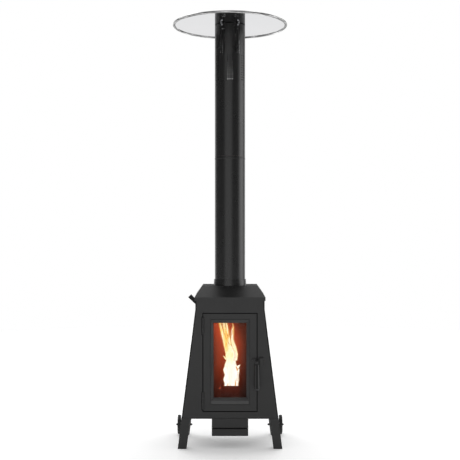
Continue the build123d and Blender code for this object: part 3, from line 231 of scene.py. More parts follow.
def inside_bezel(t, across, z):
    """Distance in from the window bezel's rectangular outline."""
    side = t.math("SUBTRACT", BEZEL_HIGH.x - BEZEL_FLANGE, across)
    middle = (BEZEL_LOW.z + BEZEL_HIGH.z) / 2
    tall = t.math("ABSOLUTE", t.math("SUBTRACT", z, middle))
    end = t.math("SUBTRACT", BEZEL_HIGH.z - BEZEL_FLANGE - middle, tall)
    return t.math("MINIMUM", side, end)


# ------------------------------------------------------------------ metal, plastic and glass
def scaled(colour, factor):
    return tuple(min(1, c * factor) for c in colour)


def metal(name, colour, rough, tint=None):
    """Bare metal with fine streaks, smudges in the gloss and, if asked, a heat tint."""
    made, t = material(name)
    streaks = t.noise(200.0)
    blotch = t.noise(9.0, 5.0, rough=0.6)
    base = t.mix(t.span(streaks, 0.3, 0.7), scaled(colour, 0.9), scaled(colour, 1.08))
    base = t.mix(t.span(blotch, 0.35, 0.75, 0.0, 0.25), base, scaled(colour, 0.7))
    if tint:
        base = t.mix(t.span(blotch, 0.4, 0.62), base, tint)
    roughness = t.span(blotch, 0.3, 0.75, rough * 0.85, rough * 1.25)
    normal = t.bump(streaks, 0.05, 0.0002)
    t.surface({"Base Color": base, "Metallic": 1.0, "Roughness": roughness, "Normal": normal})
    return made


def plastic(name, base, rough, scale=300.0, bump=0.1, scuff=0.2, specular=0.5, tread=0,
            rim_gloss=0.0):
    """Moulded plastic or rubber with a fine skin and scuffs. Tread is a number of ribs round
    the wheel, and rim gloss is the gloss on the sides of a round grip."""
    made, t = material(name)
    skin = t.noise(scale)
    scuffs = t.noise(35.0, 6.0, rough=0.7)
    colour = t.mix(t.span(scuffs, 0.52, 0.8, 0.0, scuff), grey(base), grey(base * 3.5 + 0.02))
    colour = t.mix(t.span(skin, 0.3, 0.7, 0.0, 0.25), colour, grey(base * 0.7))
    roughness = t.span(scuffs, 0.35, 0.75, rough * 0.85, min(1.0, rough * 1.25))
    normal = t.bump(skin, bump, 0.0004)
    if tread:
        _, y, z = t.xyz()
        rise = t.math("SUBTRACT", z, AXLE.z)
        turn = t.math("ARCTAN2", rise, t.math("SUBTRACT", y, AXLE.y))
        rib = t.span(t.math("SINE", t.math("MULTIPLY", turn, tread)), -0.3, 0.3, smooth=True)
        normal = t.bump(rib, 0.8, 0.0015, normal)
    shine = specular
    if rim_gloss:
        facing = t.add("LayerWeight", {"Blend": 0.5}).outputs["Facing"]
        shine = t.span(facing, 0.08, 0.34, specular, rim_gloss)
    inputs = {"Base Color": colour, "Roughness": roughness, "Normal": normal}
    inputs["Specular IOR Level"] = shine
    t.surface(inputs)
    return made


def mirror_steel():
    """Polished stainless sheet: nearly a mirror, with faint polishing swirls and smudges."""
    made, t = material("polished_steel")
    swirl = t.noise(900.0, 2.0, stretch=(1, 1, 0.2))
    wave = t.noise(5.0, 2.0)
    smudge = t.noise(16.0, 6.0, rough=0.65)
    colour = t.mix(t.span(wave, 0.3, 0.7), (0.745, 0.748, 0.76), (0.765, 0.765, 0.777))
    roughness = t.span(smudge, 0.4, 0.8, 0.035, 0.11)
    normal = t.bump(swirl, 0.012, 0.0001)
    t.surface({"Base Color": colour, "Metallic": 1.0, "Roughness": roughness, "Normal": normal})
    return made


def rim_steel():
    """The reflector's rolled rim: polished, with painted reflections, dark and bright streaks
    that run round it in its colour.
    """
    made, t = material("rim_steel")
    x, y, z = t.xyz()
    around = t.math("MULTIPLY", t.math("ARCTAN2", y, x), 1.1)
    ring = t.add("CombineXYZ", {"X": around, "Y": t.math("MULTIPLY", z, 150.0)}).outputs[0]
    streaky = {"Vector": ring, "Scale": 2.6, "Detail": 5.0, "Roughness": 0.62}
    reflection_streak = t.add("TexNoise", streaky).outputs["Fac"]
    # painted reflection: the streaks set the base colour from near-black to near-white
    stops = [(0.38, grey(0.05)), (0.47, grey(0.16)), (0.53, grey(0.42)), (0.61, grey(0.95))]
    inputs = {"Base Color": t.ramp(reflection_streak, stops), "Metallic": 1.0}
    inputs["Roughness"] = t.span(reflection_streak, 0.3, 0.7, 0.28, 0.16)
    inputs["Normal"] = t.bump(reflection_streak, 0.3, 0.002)
    t.surface(inputs)
    return made


def window_glass():
    """Clear ceramic glass with a film of soot that thickens towards its edges."""
    made, t = material("glass")
    x, _, z = t.xyz()
    side = t.span(t.math("ABSOLUTE", x), *GLASS_SIDE, smooth=True)
    height = t.math("ABSOLUTE", t.math("SUBTRACT", z, GLASS_MID_Z))
    edge = t.math("MAXIMUM", side, t.span(height, *GLASS_END, smooth=True))
    film_patches = t.span(t.noise(30.0, 5.0, rough=0.65), 0.35, 0.75, 0.0, 0.35)
    soot = t.math("MULTIPLY", edge, film_patches)
    clear = t.add("BsdfTransparent", {"Color": (0.95, 0.93, 0.92, 1)}).outputs[0]
    sooty = {"Base Color": (0.02, 0.012, 0.008, 1), "Roughness": 0.6}
    smoke = t.add("BsdfPrincipled", sooty).outputs[0]
    film = t.add("MixShader", {0: soot, 1: clear, 2: smoke}).outputs[0]
    gloss = t.add("BsdfGlossy", {"Roughness": 0.03, "Color": (1, 1, 1, 1)}).outputs[0]
    fresnel = t.add("Fresnel", {"IOR": 1.09}).outputs[0]
    t.finish(t.add("MixShader", {0: fresnel, 1: film, 2: gloss}).outputs[0])
    return made


# ------------------------------------------------------------------ the firebox and its fire
# Painted firelight: emission on the firebox's boards and steel stands for the fire's light on them.
FIRELIGHT = (1.0, 0.125, 0.040, 1)
LINER_PAINTED_LIGHT = 0.50
LEAN_Z = (0.50, 0.66)  # the flame leans to the left over this height
LEAN_X = (0.008, -0.045)
GLOW_LEFT = (-0.115, -0.030, 0.32, 1.0)
GLOW_RIGHT = (0.0, 0.088, 1.0, 0.14)
GLOW_UP = (0.235, 0.54, 0.10, 1.0)
GLOW_BACK = (-0.12, 0.1, 0.35, 1.0)


def painted_firelight(t, patchy):
    """Painted firelight: how strongly the fire would light a place in the firebox, given as
    emission, most beside the flame and high up.
    """
    x, y, z = t.xyz()
    away = t.math("SUBTRACT", x, t.span(z, *LEAN_Z, *LEAN_X))
    left = t.span(away, *GLOW_LEFT, smooth=True)
    right = t.span(away, *GLOW_RIGHT, smooth=True)
    glow = t.math("MULTIPLY", left, right)
    glow = t.math("MULTIPLY", glow, t.span(z, *GLOW_UP))
    glow = t.math("MULTIPLY", glow, patchy)
    glow = t.math("MULTIPLY", glow, t.span(y, *GLOW_BACK))
    return t.math("MULTIPLY", glow, LINER_PAINTED_LIGHT)


def lit_steel():
    """Sooted steel close to the flame, with painted firelight like the boards behind it."""
    made, t = material("lit_steel")
    soot = t.noise(40.0, 5.0)
    colour = t.mix(t.span(soot, 0.3, 0.7), (0.03, 0.018, 0.013), (0.09, 0.05, 0.035))
    inputs = {"Base Color": colour, "Roughness": 0.7, "Normal": t.bump(soot, 0.3, 0.001)}
    inputs["Emission Color"] = FIRELIGHT
    inputs["Emission Strength"] = painted_firelight(t, t.span(soot, 0.25, 0.75, 1.1, 0.8))
    t.surface(inputs)
    return made


def fire_board():
    """Buff vermiculite board, sooted, with painted firelight where the fire lights it."""
    made, t = material("liner")
    flake = t.noise(260.0, 4.0, rough=0.7)
    stain = t.noise(6.0, 5.0, rough=0.6, stretch=(1, 1, 0.5))
    colour = t.mix(t.span(flake, 0.3, 0.7), (0.07, 0.03, 0.018), (0.12, 0.055, 0.03))
    colour = t.mix(t.span(stain, 0.35, 0.7, 0.0, 0.7), colour, (0.05, 0.03, 0.022))
    inputs = {"Base Color": colour, "Roughness": 0.95, "Normal": t.bump(flake, 0.4, 0.001)}
    inputs["Emission Color"] = FIRELIGHT
    inputs["Emission Strength"] = painted_firelight(t, t.span(stain, 0.25, 0.75, 1.2, 0.72))
    t.surface(inputs)
    return made


def cast_iron():
    """Rough cast iron with a rust bloom and painted dull red firelight, strongest at the rim."""
    made, t = material("pot_iron")
    sand = t.noise(500.0, 4.0, rough=0.7)
    bloom = t.noise(22.0, 5.0)
    colour = t.mix(t.span(bloom, 0.4, 0.7), (0.018, 0.015, 0.014), (0.05, 0.026, 0.016))
    inputs = {"Base Color": colour, "Roughness": 0.8, "Normal": t.bump(sand, 0.5, 0.0008)}
    inputs["Emission Color"] = (1.0, 0.09, 0.01, 1)
    # painted firelight: emission that grows from the pot's foot to its rim
    inputs["Emission Strength"] = t.span(t.xyz()["Z"], *POT_Z, 0.018, 0.075)
    t.surface(inputs)
    return made


def rope():
    """Woven glass-fibre rope."""
    made, t = material("rope_seal")
    woven = {"Vector": t.position(), "Scale": 170.0, "Distortion": 3.0}
    weave = t.add("TexWave", woven).outputs["Fac"]
    fibre = t.noise(900.0)
    colour = t.mix(t.span(fibre, 0.3, 0.7), (0.30, 0.29, 0.26), (0.46, 0.44, 0.40))
    smoked = t.span(t.noise(12.0, 4.0), 0.4, 0.7, 0.0, 0.6)
    colour = t.mix(smoked, colour, (0.06, 0.05, 0.045))
    normal = t.bump(fibre, 0.3, 0.0005, t.bump(weave, 0.6, 0.0015))
    t.surface({"Base Color": colour, "Roughness": 0.95, "Normal": normal})
    return made


def flame(name, stops, strength, clear=0.0):
    """Burning gas: white hot at the foot and cooler above, with streaks along its rise."""
    made, t = material(name)
    z = t.xyz()["Z"]
    lick = t.noise(62.0, 4.0, stretch=(1, 1, 0.13), rough=0.6, distortion=0.5)
    restless = t.span(z, *RESTLESS_Z, 0.15, 1.0)
    unrest = t.math("MULTIPLY", restless, t.span(lick, 0.34, 0.66, -0.5, 0.62))
    age = t.math("ADD", t.span(z, *COOLING_Z), unrest)
    glow = t.add("Emission", {"Color": t.ramp(age, stops), "Strength": strength}).outputs[0]
    if clear:
        hole = t.add("BsdfTransparent").outputs[0]
        veil = t.span(lick, 0.3, 0.7, clear - 0.15, clear + 0.15)
        glow = t.add("MixShader", {0: veil, 1: glow, 2: hole}).outputs[0]
    t.finish(glow)
    return made


def ember():
    """Charred wood with glowing cracks."""
    made, t = material("ember")
    cells = {"Vector": t.position(), "Scale": 190.0}
    crack = t.add("TexVoronoi", cells, feature="DISTANCE_TO_EDGE").outputs[0]
    heat = t.span(t.noise(45.0, 4.0), 0.35, 0.6, 0.0, 1.0)
    glow = t.math("MULTIPLY", t.span(crack, 0.0, 0.18, 1.0, 0.1), heat)
    glow = t.math("MULTIPLY", glow, t.span(t.xyz()["Z"], *HEAP_TOP_Z, 0.03, 1.0))
    inputs = {"Base Color": (0.03, 0.02, 0.018, 1), "Roughness": 0.9}
    inputs["Emission Color"] = (1.0, 0.17, 0.08, 1)
    inputs["Emission Strength"] = t.math("MULTIPLY", glow, 2.6)
    inputs["Normal"] = t.bump(crack, 0.6, 0.001)
    t.surface(inputs)
    return made


def zinc():
    """Zinc plate with a faint spangle."""
    made, t = material("zinc")
    cell = t.add("TexVoronoi", {"Vector": t.position(), "Scale": 260.0}).outputs["Color"]
    tone = t.add("SeparateColor", {"Color": cell}).outputs[0]
    colour = t.mix(t.span(tone, 0.0, 1.0), (0.47, 0.48, 0.5), (0.66, 0.67, 0.69))
    roughness = t.span(tone, 0.0, 1.0, 0.22, 0.4)
    t.surface({"Base Color": colour, "Metallic": 1.0, "Roughness": roughness})
    return made


glass_low, glass_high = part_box("door_glass")
GLASS_MID_Z = (glass_low.z + glass_high.z) / 2
GLASS_SIDE = (0.06, 0.092)  # sooting starts and is full at these distances from the middle
GLASS_END = (0.15, 0.2)
POT_Z = (0.225, 0.301)
RESTLESS_Z = (0.40, 0.50)
COOLING_Z = (0.38, 0.72)
HEAP_TOP_Z = (0.272, 0.284)
tyre_low, tyre_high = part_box("wheel_tyre_left")
AXLE = (tyre_low + tyre_high) / 2
ABOVE_KNEE_Z = 0.69
panel_points = [v.co for v in NODES["front_panel"].data.vertices]
PANEL_FOOT = max(panel_points, key=lambda p: p.x - p.z)
band_points = [p for p in panel_points if p.z > ABOVE_KNEE_Z]
PANEL_KNEE = max(band_points, key=lambda p: p.x - 0.01 * p.z)
BEZEL_LOW, BEZEL_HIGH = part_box("window_bezel")
BEZEL_FLANGE = 0.008

CORE_HEAT = [(0.0, (1.0, 1.0, 0.97)), (0.34, (1.0, 0.95, 0.60)), (0.72, (1.0, 0.80, 0.28)),
             (1.0, (1.0, 0.42, 0.07))]
BODY_HEAT = [(0.0, (1.0, 0.92, 0.70)), (0.45, (1.0, 0.72, 0.24)), (1.0, (1.0, 0.30, 0.04))]
VEIL_HEAT = [(0.0, (1.0, 0.62, 0.30)), (0.35, (1.0, 0.36, 0.08)), (1.0, (1.0, 0.16, 0.03))]
LICK_HEAT = [(0.0, (1.0, 0.42, 0.06)), (1.0, (1.0, 0.34, 0.05))]

M = {
    "body_paint": powder_coat("body_paint", 0.0128, mottling=0.6),
    # front and bezel paint: painted shade, a dark outline along their edges
    "front_paint": outlined("front_paint", inside_panel, 0.0075, base=0.0124, mottling=0.6),
    "bezel_paint": outlined("bezel_paint", inside_bezel, 0.0042, base=0.030, rough=0.38,
                            mottling=0.6, specular=0.6),
    "body_edge": powder_coat("body_edge", 0.013, rough=0.38, wear=0.14),
    # painted shade: near-black, barely glossy rounded edges of the panels that border gaps
    "gap_shade_edge": powder_coat("gap_shade_edge", 0.004, rough=0.6, specular=0.08),
    # soot on the flue screen; on the door stop frame the same black is painted shade behind the
    # door's gaps
    "soot_and_gap_shade_black": powder_coat("soot_and_gap_shade_black", 0.003, rough=0.8, specular=0.05),
    "roof_paint": powder_coat("roof_paint", 0.0108, rough=0.31, grain=0.35, mottling=0.4,
                              dusty=0.05, specular=0.45, slope=0.42),
    "flue_paint": powder_coat("flue_paint", 0.0112, rough=0.28, grain=0.4, mottling=0.25,
                              dusty=0.0, specular=0.5, soot=True),
    "polished_steel": mirror_steel(),
    "rim_steel": rim_steel(),
    "zinc": zinc(),
    "black_fastener": metal("black_fastener", (0.06, 0.06, 0.062), 0.4),
    "tyre": plastic("tyre", 0.02, 0.75, scale=500.0, bump=0.3, scuff=0.25, tread=44),
    "wheel_plastic": plastic("wheel_plastic", 0.022, 0.45),
    "glass": window_glass(),
    "liner": fire_board(),
    "lit_steel": lit_steel(),
    "hot_steel": metal("hot_steel", (0.2, 0.17, 0.15), 0.5, tint=(0.12, 0.09, 0.11)),
    "pot_iron": cast_iron(),
    "rope_seal": rope(),
    "grip_black": plastic("grip_black", 0.002, 0.14, bump=0.02, scuff=0.05, specular=0.2,
                          rim_gloss=0.8),
    "flame_core": flame("flame_core", CORE_HEAT, 1.5),
    "flame_body": flame("flame_body", BODY_HEAT, 1.1, clear=0.78),
    "flame_lick": flame("flame_lick", LICK_HEAT, 0.9, clear=0.3),
    "flame_veil": flame("flame_veil", VEIL_HEAT, 0.75, clear=0.84),
    "ember": ember(),
}
SUBPARTS = frame["record"]["subparts"]
BODIES = frame["record"]["behaviour"]["bodies"]
SLOT_OF = {entry["node"]: entry["material_slot"] for entry in SUBPARTS}
BODY_OF = {node: body for body, nodes in BODIES.items() for node in nodes}


# ------------------------------------------------------------------ mesh helpers
SHARP_ANGLE = math.radians(32.0)
FLAT_ANGLE = math.radians(0.4)
WELD = 1e-5
ROUND_WIDTH = 1.4  # wider edges get more segments
EDGE_SLOT = 1  # material index of a rounded edge


def turns(count):
    """Evenly spaced angles round a full circle."""
    return [2 * math.pi * step / count for step in range(count)]


def skin(bm, rings, closed=False):
    """Joins each ring of vertices to the next with faces."""
    for lower, upper in zip(rings, rings[1:] + (rings[:1] if closed else [])):
        for step in range(len(lower)):
            after = (step + 1) % len(lower)
            bm.faces.new((lower[step], lower[after], upper[after], upper[step]))


def publish(name, bm, body, finishes, slot=None, smooth=40.0, weighted=True):
    """Turns a bmesh into a piece that rides on a body."""
    mesh = bpy.data.meshes.new(name)
    for face in bm.faces:
        face.smooth = True
    for edge in bm.edges:
        angle = edge.calc_face_angle(0.0) if len(edge.link_faces) == 2 else 0.0
        edge.smooth = angle < math.radians(smooth)
    bm.to_mesh(mesh)
    bm.free()
    piece = bpy.data.objects.new(name, mesh)
    bpy.context.scene.collection.objects.link(piece)
    for finish in finishes:
        mesh.materials.append(M[finish])
    if weighted:
        piece.modifiers.new("normals", "WEIGHTED_NORMAL").keep_sharp = True
    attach(piece, body)
    return piece


def stand_in(name, bm, node, finishes, **how):
    """Publishes a piece that takes a CAD node's place."""
    piece = publish(name, bm, BODY_OF[node], finishes, SLOT_OF[node], **how)
    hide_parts(node)


def soften(node, width, edge=None, main=None):
    """A copy of a CAD node with its sharp edges rounded, standing for that node."""
    bm = bmesh.new()
    bm.from_mesh(NODES[node].data)
    bmesh.ops.remove_doubles(bm, verts=bm.verts, dist=WELD)
    bmesh.ops.dissolve_limit(bm, angle_limit=FLAT_ANGLE, verts=bm.verts, edges=bm.edges)
    sharp = [e for e in bm.edges if len(e.link_faces) == 2 and e.calc_face_angle(0.0) > SHARP_ANGLE]
    if width:
        bmesh.ops.bevel(
            bm, geom=sharp, offset=width * MM, offset_type="OFFSET",
            segments=4 if width > ROUND_WIDTH else 2, profile=0.5, affect="EDGES",
            clamp_overlap=True, material=EDGE_SLOT if edge else -1,
        )
    stand_in("v_" + node, bm, node, [main or SLOT_OF[node]] + ([edge] if edge else []))


def dress(node, finish):
    """Gives a CAD node that is shown as it is its finished material."""
    mesh = NODES[node].data
    mesh.materials.clear()
    mesh.materials.append(M[finish])


SOFT = {
    "front_panel": 1.4, "rear_panel": 1.4, "side_panel_left": 1.2, "side_panel_right": 1.2,
    "base_plate": 0.8, "roof_cap": 0.8, "leg_front_left": 1.2, "leg_front_right": 1.2,
    "leg_rear_left": 1.2, "leg_rear_right": 1.2, "door_leaf": 0.9, "window_bezel": 0.9,
    "catch_block": 0.6, "hopper": 0.7, "hopper_lid": 0.7, "ash_box_housing": 0.7,
    "ash_drawer": 0.6, "burn_pot": 1.0, "pot_stand": 0.6, "damper_lever": 1.0,
    "door_handle": 1.2, "handle_cap": 0.5, "reflector_brackets": 0.5, "pellet_chute": 0.5,
    "hinge_knuckles": 0.4, "door_hinge_knuckles": 0.4, "wheel_tyre_left": 3.5,
    "wheel_tyre_right": 3.5, "wheel_hub_left": 1.0, "wheel_hub_right": 1.0,
    "lid_knob": 1.0, "handle_grip": 1.5, "upper_flue": 0.0, "lower_flue": 0.0,
}
# parts whose rounded edges take the painted gap shade
GAP_SHADED_PARTS = (
    "front_panel", "door_leaf", "side_panel_left", "side_panel_right", "rear_panel",
    "ash_box_housing", "ash_drawer",
)
FINISH = {
    "front_panel": "front_paint", "window_bezel": "bezel_paint", "roof_cap": "roof_paint",
    # door stop frame: near-black, a painted shade seen through the gaps round the door
    "pellet_chute": "lit_steel", "door_stop_frame": "soot_and_gap_shade_black", "reflector_rim": "rim_steel",
}
for name in NODES:
    if name in SOFT:
        edge = None
        if SLOT_OF[name] == "body_paint":
            edge = "gap_shade_edge" if name in GAP_SHADED_PARTS else "body_edge"
        soften(name, SOFT[name], edge, FINISH.get(name))
    else:
        dress(name, FINISH.get(name, SLOT_OF[name]))


# ------------------------------------------------------------------ fire
SQUASH = 0.7  # a tongue's depth over its width
LEAST_HALF = 0.15
RIPPLE_PITCH = 26


def tongue(bm, path, rings=40, around=20, wobble=0.0, seed=0):
    """Adds a closed lick of flame, lofted along (x, y, z, half width) stations."""
    loops = []
    stations = [Vector(p) for p in path]
    for ring in range(rings + 1):
        at = ring / rings * (len(stations) - 1)
        low = min(int(at), len(stations) - 2)
        t = at - low
        before = stations[max(low - 1, 0)]
        after = stations[min(low + 2, len(stations) - 1)]
        a, b = stations[low], stations[low + 1]
        point = 0.5 * (2 * a + (b - before) * t + (2 * before - 5 * a + 4 * b - after) * t ** 2
                       + (3 * a - before - 3 * b + after) * t ** 3)
        radius = max(point[3], LEAST_HALF)
        height = point[2] / RIPPLE_PITCH + seed
        loop = []
        for turn in turns(around):
            ripple = noise.noise(Vector((math.cos(turn) + seed, math.sin(turn), height)))
            reach = radius * (1 + wobble * ripple)
            x = point[0] + reach * math.cos(turn)
            y = point[1] + reach * SQUASH * math.sin(turn)
            loop.append(bm.verts.new((x * MM, y * MM, point[2] * MM)))
        loops.append(loop)
    skin(bm, loops)
    bm.faces.new(list(reversed(loops[0])))
    bm.faces.new(loops[-1])


def burn(name, bm, finish):
    """Publishes tongues as one piece of fire, which casts no shadow and no bounced light."""
    piece = publish(name, bm, "heater", [finish], smooth=80.0, weighted=False)
    piece.visible_shadow = False
    piece.visible_diffuse = False


FLAMES = (
    ((7, 0, 289, 37), (7, 0, 320, 37), (6, 0, 352, 37), (6, 0, 385, 37), (3, 0, 404, 29),
     (4, 0, 425, 26), (5, 0, 448, 28), (4, 0, 470, 27), (0, 0, 490, 21), (-8, 0, 508, 14),
     (-15, 0, 522, 4)),
    ((-4, 2, 440, 17), (-10, 2, 480, 17), (-22, 2, 516, 14), (-34, 2, 552, 11),
     (-45, 2, 588, 9), (-53, 2, 622, 8), (-59, 2, 646, 6)),
    ((2, 8, 455, 16), (-6, 8, 500, 14), (-13, 8, 530, 12), (-22, 8, 566, 10),
     (-30, 8, 600, 9), (-35, 8, 630, 8), (-38, 8, 648, 5)),
    ((-2, 12, 500, 10), (-8, 12, 540, 9), (-13, 12, 575, 8), (-17, 12, 610, 7),
     (-22, 12, 632, 5), (-27, 12, 648, 3)),
    ((22, -4, 428, 14), (28, -4, 455, 13), (27, -4, 482, 11), (18, -4, 512, 10),
     (12, -4, 532, 9), (12, -4, 552, 7), (16, -4, 572, 4), (18, -4, 590, 1)),
    ((2, 0, 512, 8), (-3, 0, 535, 7), (-6, 0, 556, 5), (-6, 0, 574, 1)),
    ((10, 6, 545, 7), (12, 6, 572, 7), (15, 6, 592, 6), (17, 6, 606, 4), (14, 6, 622, 1)),
    ((28, -8, 372, 10), (36, -8, 386, 9), (44, -8, 398, 6), (52, -8, 404, 2), (54, -8, 405, 1)),
    ((33, -6, 320, 12), (36, -6, 350, 10), (42, -6, 368, 6), (47, -6, 384, 1)),
    ((-22, -6, 432, 3), (-26, -6, 441, 4), (-31, -6, 447, 3), (-34, -6, 452, 1)),
)
SHELLS = {"flame_veil": 4.0, "flame_body": 1.5, "flame_core": -0.5}
THINNING = 2.5  # taken off the core's half width where the fire is high
THIN_FROM = 430
THIN_OVER = 120
THINNEST = 0.3
for shell, margin in SHELLS.items():
    fire = bmesh.new()
    for index, path in enumerate(FLAMES):
        stations = []
        for x, y, z, half in path:
            aloft = min(1.0, max(0.0, (z - THIN_FROM) / THIN_OVER))
            thin = THINNING * aloft if shell == "flame_core" else 0.0
            stations.append((x, y, z, max(half + margin - thin, THINNEST)))
        tongue(fire, stations, wobble=0.14, seed=index)
    burn(shell, fire, shell)

LICKS = (
    ((-12, -29, 288, 3.6), (-12, -29, 298, 2.6), (-11, -29, 312, 0.4)),
    ((3, -30, 288, 3.4), (4, -30, 296, 2.2), (3, -30, 303, 0.4)),
    ((27, -24, 288, 4.4), (29, -24, 306, 3.2), (30, -24, 328, 0.4)),
    ((44, -20, 287, 2.4), (45, -20, 296, 1.6), (43, -20, 306, 0.4)),
    ((36, -30, 374, 0.5), (38, -30, 384, 4.0), (34, -30, 392, 3.4), (31, -30, 402, 0.5)),
)
FIRST_LICK_SEED = 20
fire = bmesh.new()
for index, path in enumerate(LICKS):
    tongue(fire, path, rings=12, around=12, seed=index + FIRST_LICK_SEED)
burn("flame_licks", fire, "flame_lick")

PELLET_R = (3.1 * MM, 2.9 * MM)
PELLET_LENGTH = (9, 17)
PELLET_TIP = (0.9, 2.2)


def pellet_heap(name, count, low, high, seed):
    """Short round pellets tipped into a box-shaped space."""
    picker = random.Random(seed)
    bm = bmesh.new()
    for _ in range(count):
        centre = Vector([picker.uniform(a, b) for a, b in zip(low, high)])
        turn = Matrix.Rotation(picker.uniform(0, math.pi), 4, "Z")
        turn = turn @ Matrix.Rotation(picker.uniform(*PELLET_TIP), 4, "X")
        length = picker.uniform(*PELLET_LENGTH)
        bmesh.ops.create_cone(
            bm, cap_ends=True, segments=8, radius1=PELLET_R[0], radius2=PELLET_R[1],
            depth=length * MM, matrix=Matrix.Translation(centre * MM) @ turn,
        )
    publish(name, bm, "heater", ["ember"], smooth=35.0)


pellet_heap("glowing_pellets", 130, (-38, -38, 224), (38, 38, 287), 4)
pellet_heap("stray_embers", 5, (-51, -30, 272), (-43, 10, 298), 8)

# ------------------------------------------------------------------ rope seal of the door
STRANDS = 3
LAY = 0.022  # length of one full twist
GROOVE = 0.14  # depth between strands, over the rope's radius
ROPE_SIDES = 18
ROPE_STEP = 0.0022
BEND = 2.2  # corner radius over the rope's radius


def twisted_rope(name, node):
    """A laid rope round the rectangular ring of a CAD seal, standing for that seal."""
    low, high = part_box(node)
    inner_x = min(abs(v.co.x) for v in NODES[node].data.vertices)
    radius = min(high.y - low.y, high.x - inner_x) / 2
    middle = Vector(((low.x + high.x) / 2, (low.y + high.y) / 2, (low.z + high.z) / 2))
    half_x = (high.x + inner_x) / 2
    half_z = (high.z - low.z) / 2 - (high.x - half_x)
    corner = BEND * radius
    runs = (
        (half_x - corner, -half_z, 0.0), (half_x, half_z - corner, 90.0),
        (corner - half_x, half_z, 180.0), (-half_x, corner - half_z, 270.0),
    )
    path = []
    for index, (x, z, turn) in enumerate(runs):
        heading = math.radians(turn)
        along = Vector((math.cos(heading), 0, math.sin(heading)))
        across = Vector((-math.sin(heading), 0, math.cos(heading)))
        length = 2 * ((half_x if index % 2 == 0 else half_z) - corner)
        end = Vector((x, 0, z))
        count = max(2, int(length / ROPE_STEP))
        path += [(end - along * length * (1 - k / count), along) for k in range(count)]
        hub = end + across * corner
        bends = max(4, int(corner * math.pi / 2 / ROPE_STEP))
        for k in range(bends):
            bend = heading + math.pi / 2 * k / bends
            out = Vector((math.sin(bend), 0, -math.cos(bend)))
            path.append((hub + out * corner, Vector((math.cos(bend), 0, math.sin(bend)))))
    bm = bmesh.new()
    rings = []
    twists = round(ROPE_STEP * len(path) / LAY)
    depth = Vector((0, 1, 0))
    for k, (place, along) in enumerate(path):
        side = along.cross(depth)
        twist = 2 * math.pi * twists * k / len(path)
        ring = []
        for angle in turns(ROPE_SIDES):
            strand = abs(math.cos(STRANDS * (angle + twist) / 2))
            lobe = radius * (1 - GROOVE + GROOVE * strand)
            offset = side * (lobe * math.cos(angle)) + depth * (lobe * math.sin(angle))
            ring.append(bm.verts.new(middle + place + offset))
        rings.append(ring)
    skin(bm, rings, closed=True)
    bmesh.ops.recalc_face_normals(bm, faces=bm.faces)
    stand_in(name, bm, node, ["rope_seal"], smooth=70.0, weighted=False)


twisted_rope("v_door_seal", "door_seal")

# ------------------------------------------------------------------ domed axle ends
CAP_NUT_R = 5.7
CAP_NUT_TIP = 205.0
CAP_NUT_LENGTH = 12.0
THREAD_R = 3.9
LEG_FACE = 214.6  # the thread shows up to the leg's inner face
SHANK_R = 3.0
AXLE_SIDES = 28


def turned(name, node, profiles, finish):
    """Round bodies turned about the middle of a CAD node, from (x, radius) profiles, standing
    for that node on both sides of the heater."""
    low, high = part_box(node)
    centre = (low + high) / 2
    bm = bmesh.new()
    for profile in profiles:
        for side in (-1, 1):
            rings = []
            for x, radius in profile:
                ring = []
                for turn in turns(AXLE_SIDES):
                    y = centre.y + radius * MM * math.cos(turn)
                    z = centre.z + radius * MM * math.sin(turn)
                    ring.append(bm.verts.new((side * x * MM, y, z)))
                rings.append(ring)
            skin(bm, rings)
            bm.faces.new(rings[0])
            bm.faces.new(rings[-1])
    bmesh.ops.recalc_face_normals(bm, faces=bm.faces)
    stand_in(name, bm, node, [finish], smooth=50.0)


outer_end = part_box("wheel_bolts")[1].x / MM
cap_nut = []
for rise in (0.0, 0.35, 0.7, 1.05, 1.4):
    tip = CAP_NUT_TIP + CAP_NUT_R * (1 - math.cos(rise))
    cap_nut.append((tip, max(0.3, CAP_NUT_R * math.sin(rise))))
cap_nut.append((CAP_NUT_TIP + CAP_NUT_LENGTH, CAP_NUT_R))
shank = (
    (CAP_NUT_TIP + 6.0, THREAD_R), (LEG_FACE, THREAD_R), (LEG_FACE + 0.2, SHANK_R),
    (outer_end - 5.0, SHANK_R),
)
bolt_head = (
    (outer_end - 7.0, CAP_NUT_R), (outer_end - 4.2, CAP_NUT_R), (outer_end - 1.8, 4.8),
    (outer_end - 0.5, 3.0), (outer_end, 0.6),
)
turned("v_wheel_bolts", "wheel_bolts", (cap_nut, shank, bolt_head), "black_fastener")

# ------------------------------------------------------------------ wire screen inside the flue
SCREEN_Z = (1890.0, 2176.0)
SCREEN_R = 74.0
SCREEN_PITCH = 5.0
WIRE_R = 0.6
WIRE = [(WIRE_R * math.cos(turn), WIRE_R * math.sin(turn)) for turn in turns(3)]
HOOP = ((73.0, -4.0), (78.0, -4.0), (78.0, 4.0), (73.0, 4.0))
HOOP_SIDES = 48


def hoop(bm, z, section):
    """A ring about the flue's axis, from the (radius, height) corners of its section."""
    rings = []
    for turn in turns(HOOP_SIDES):
        across = math.cos(turn) * MM
        deep = math.sin(turn) * MM
        ring = [(radius * across, radius * deep, (z + up) * MM) for radius, up in section]
        rings.append([bm.verts.new(corner) for corner in ring])
    skin(bm, rings, closed=True)


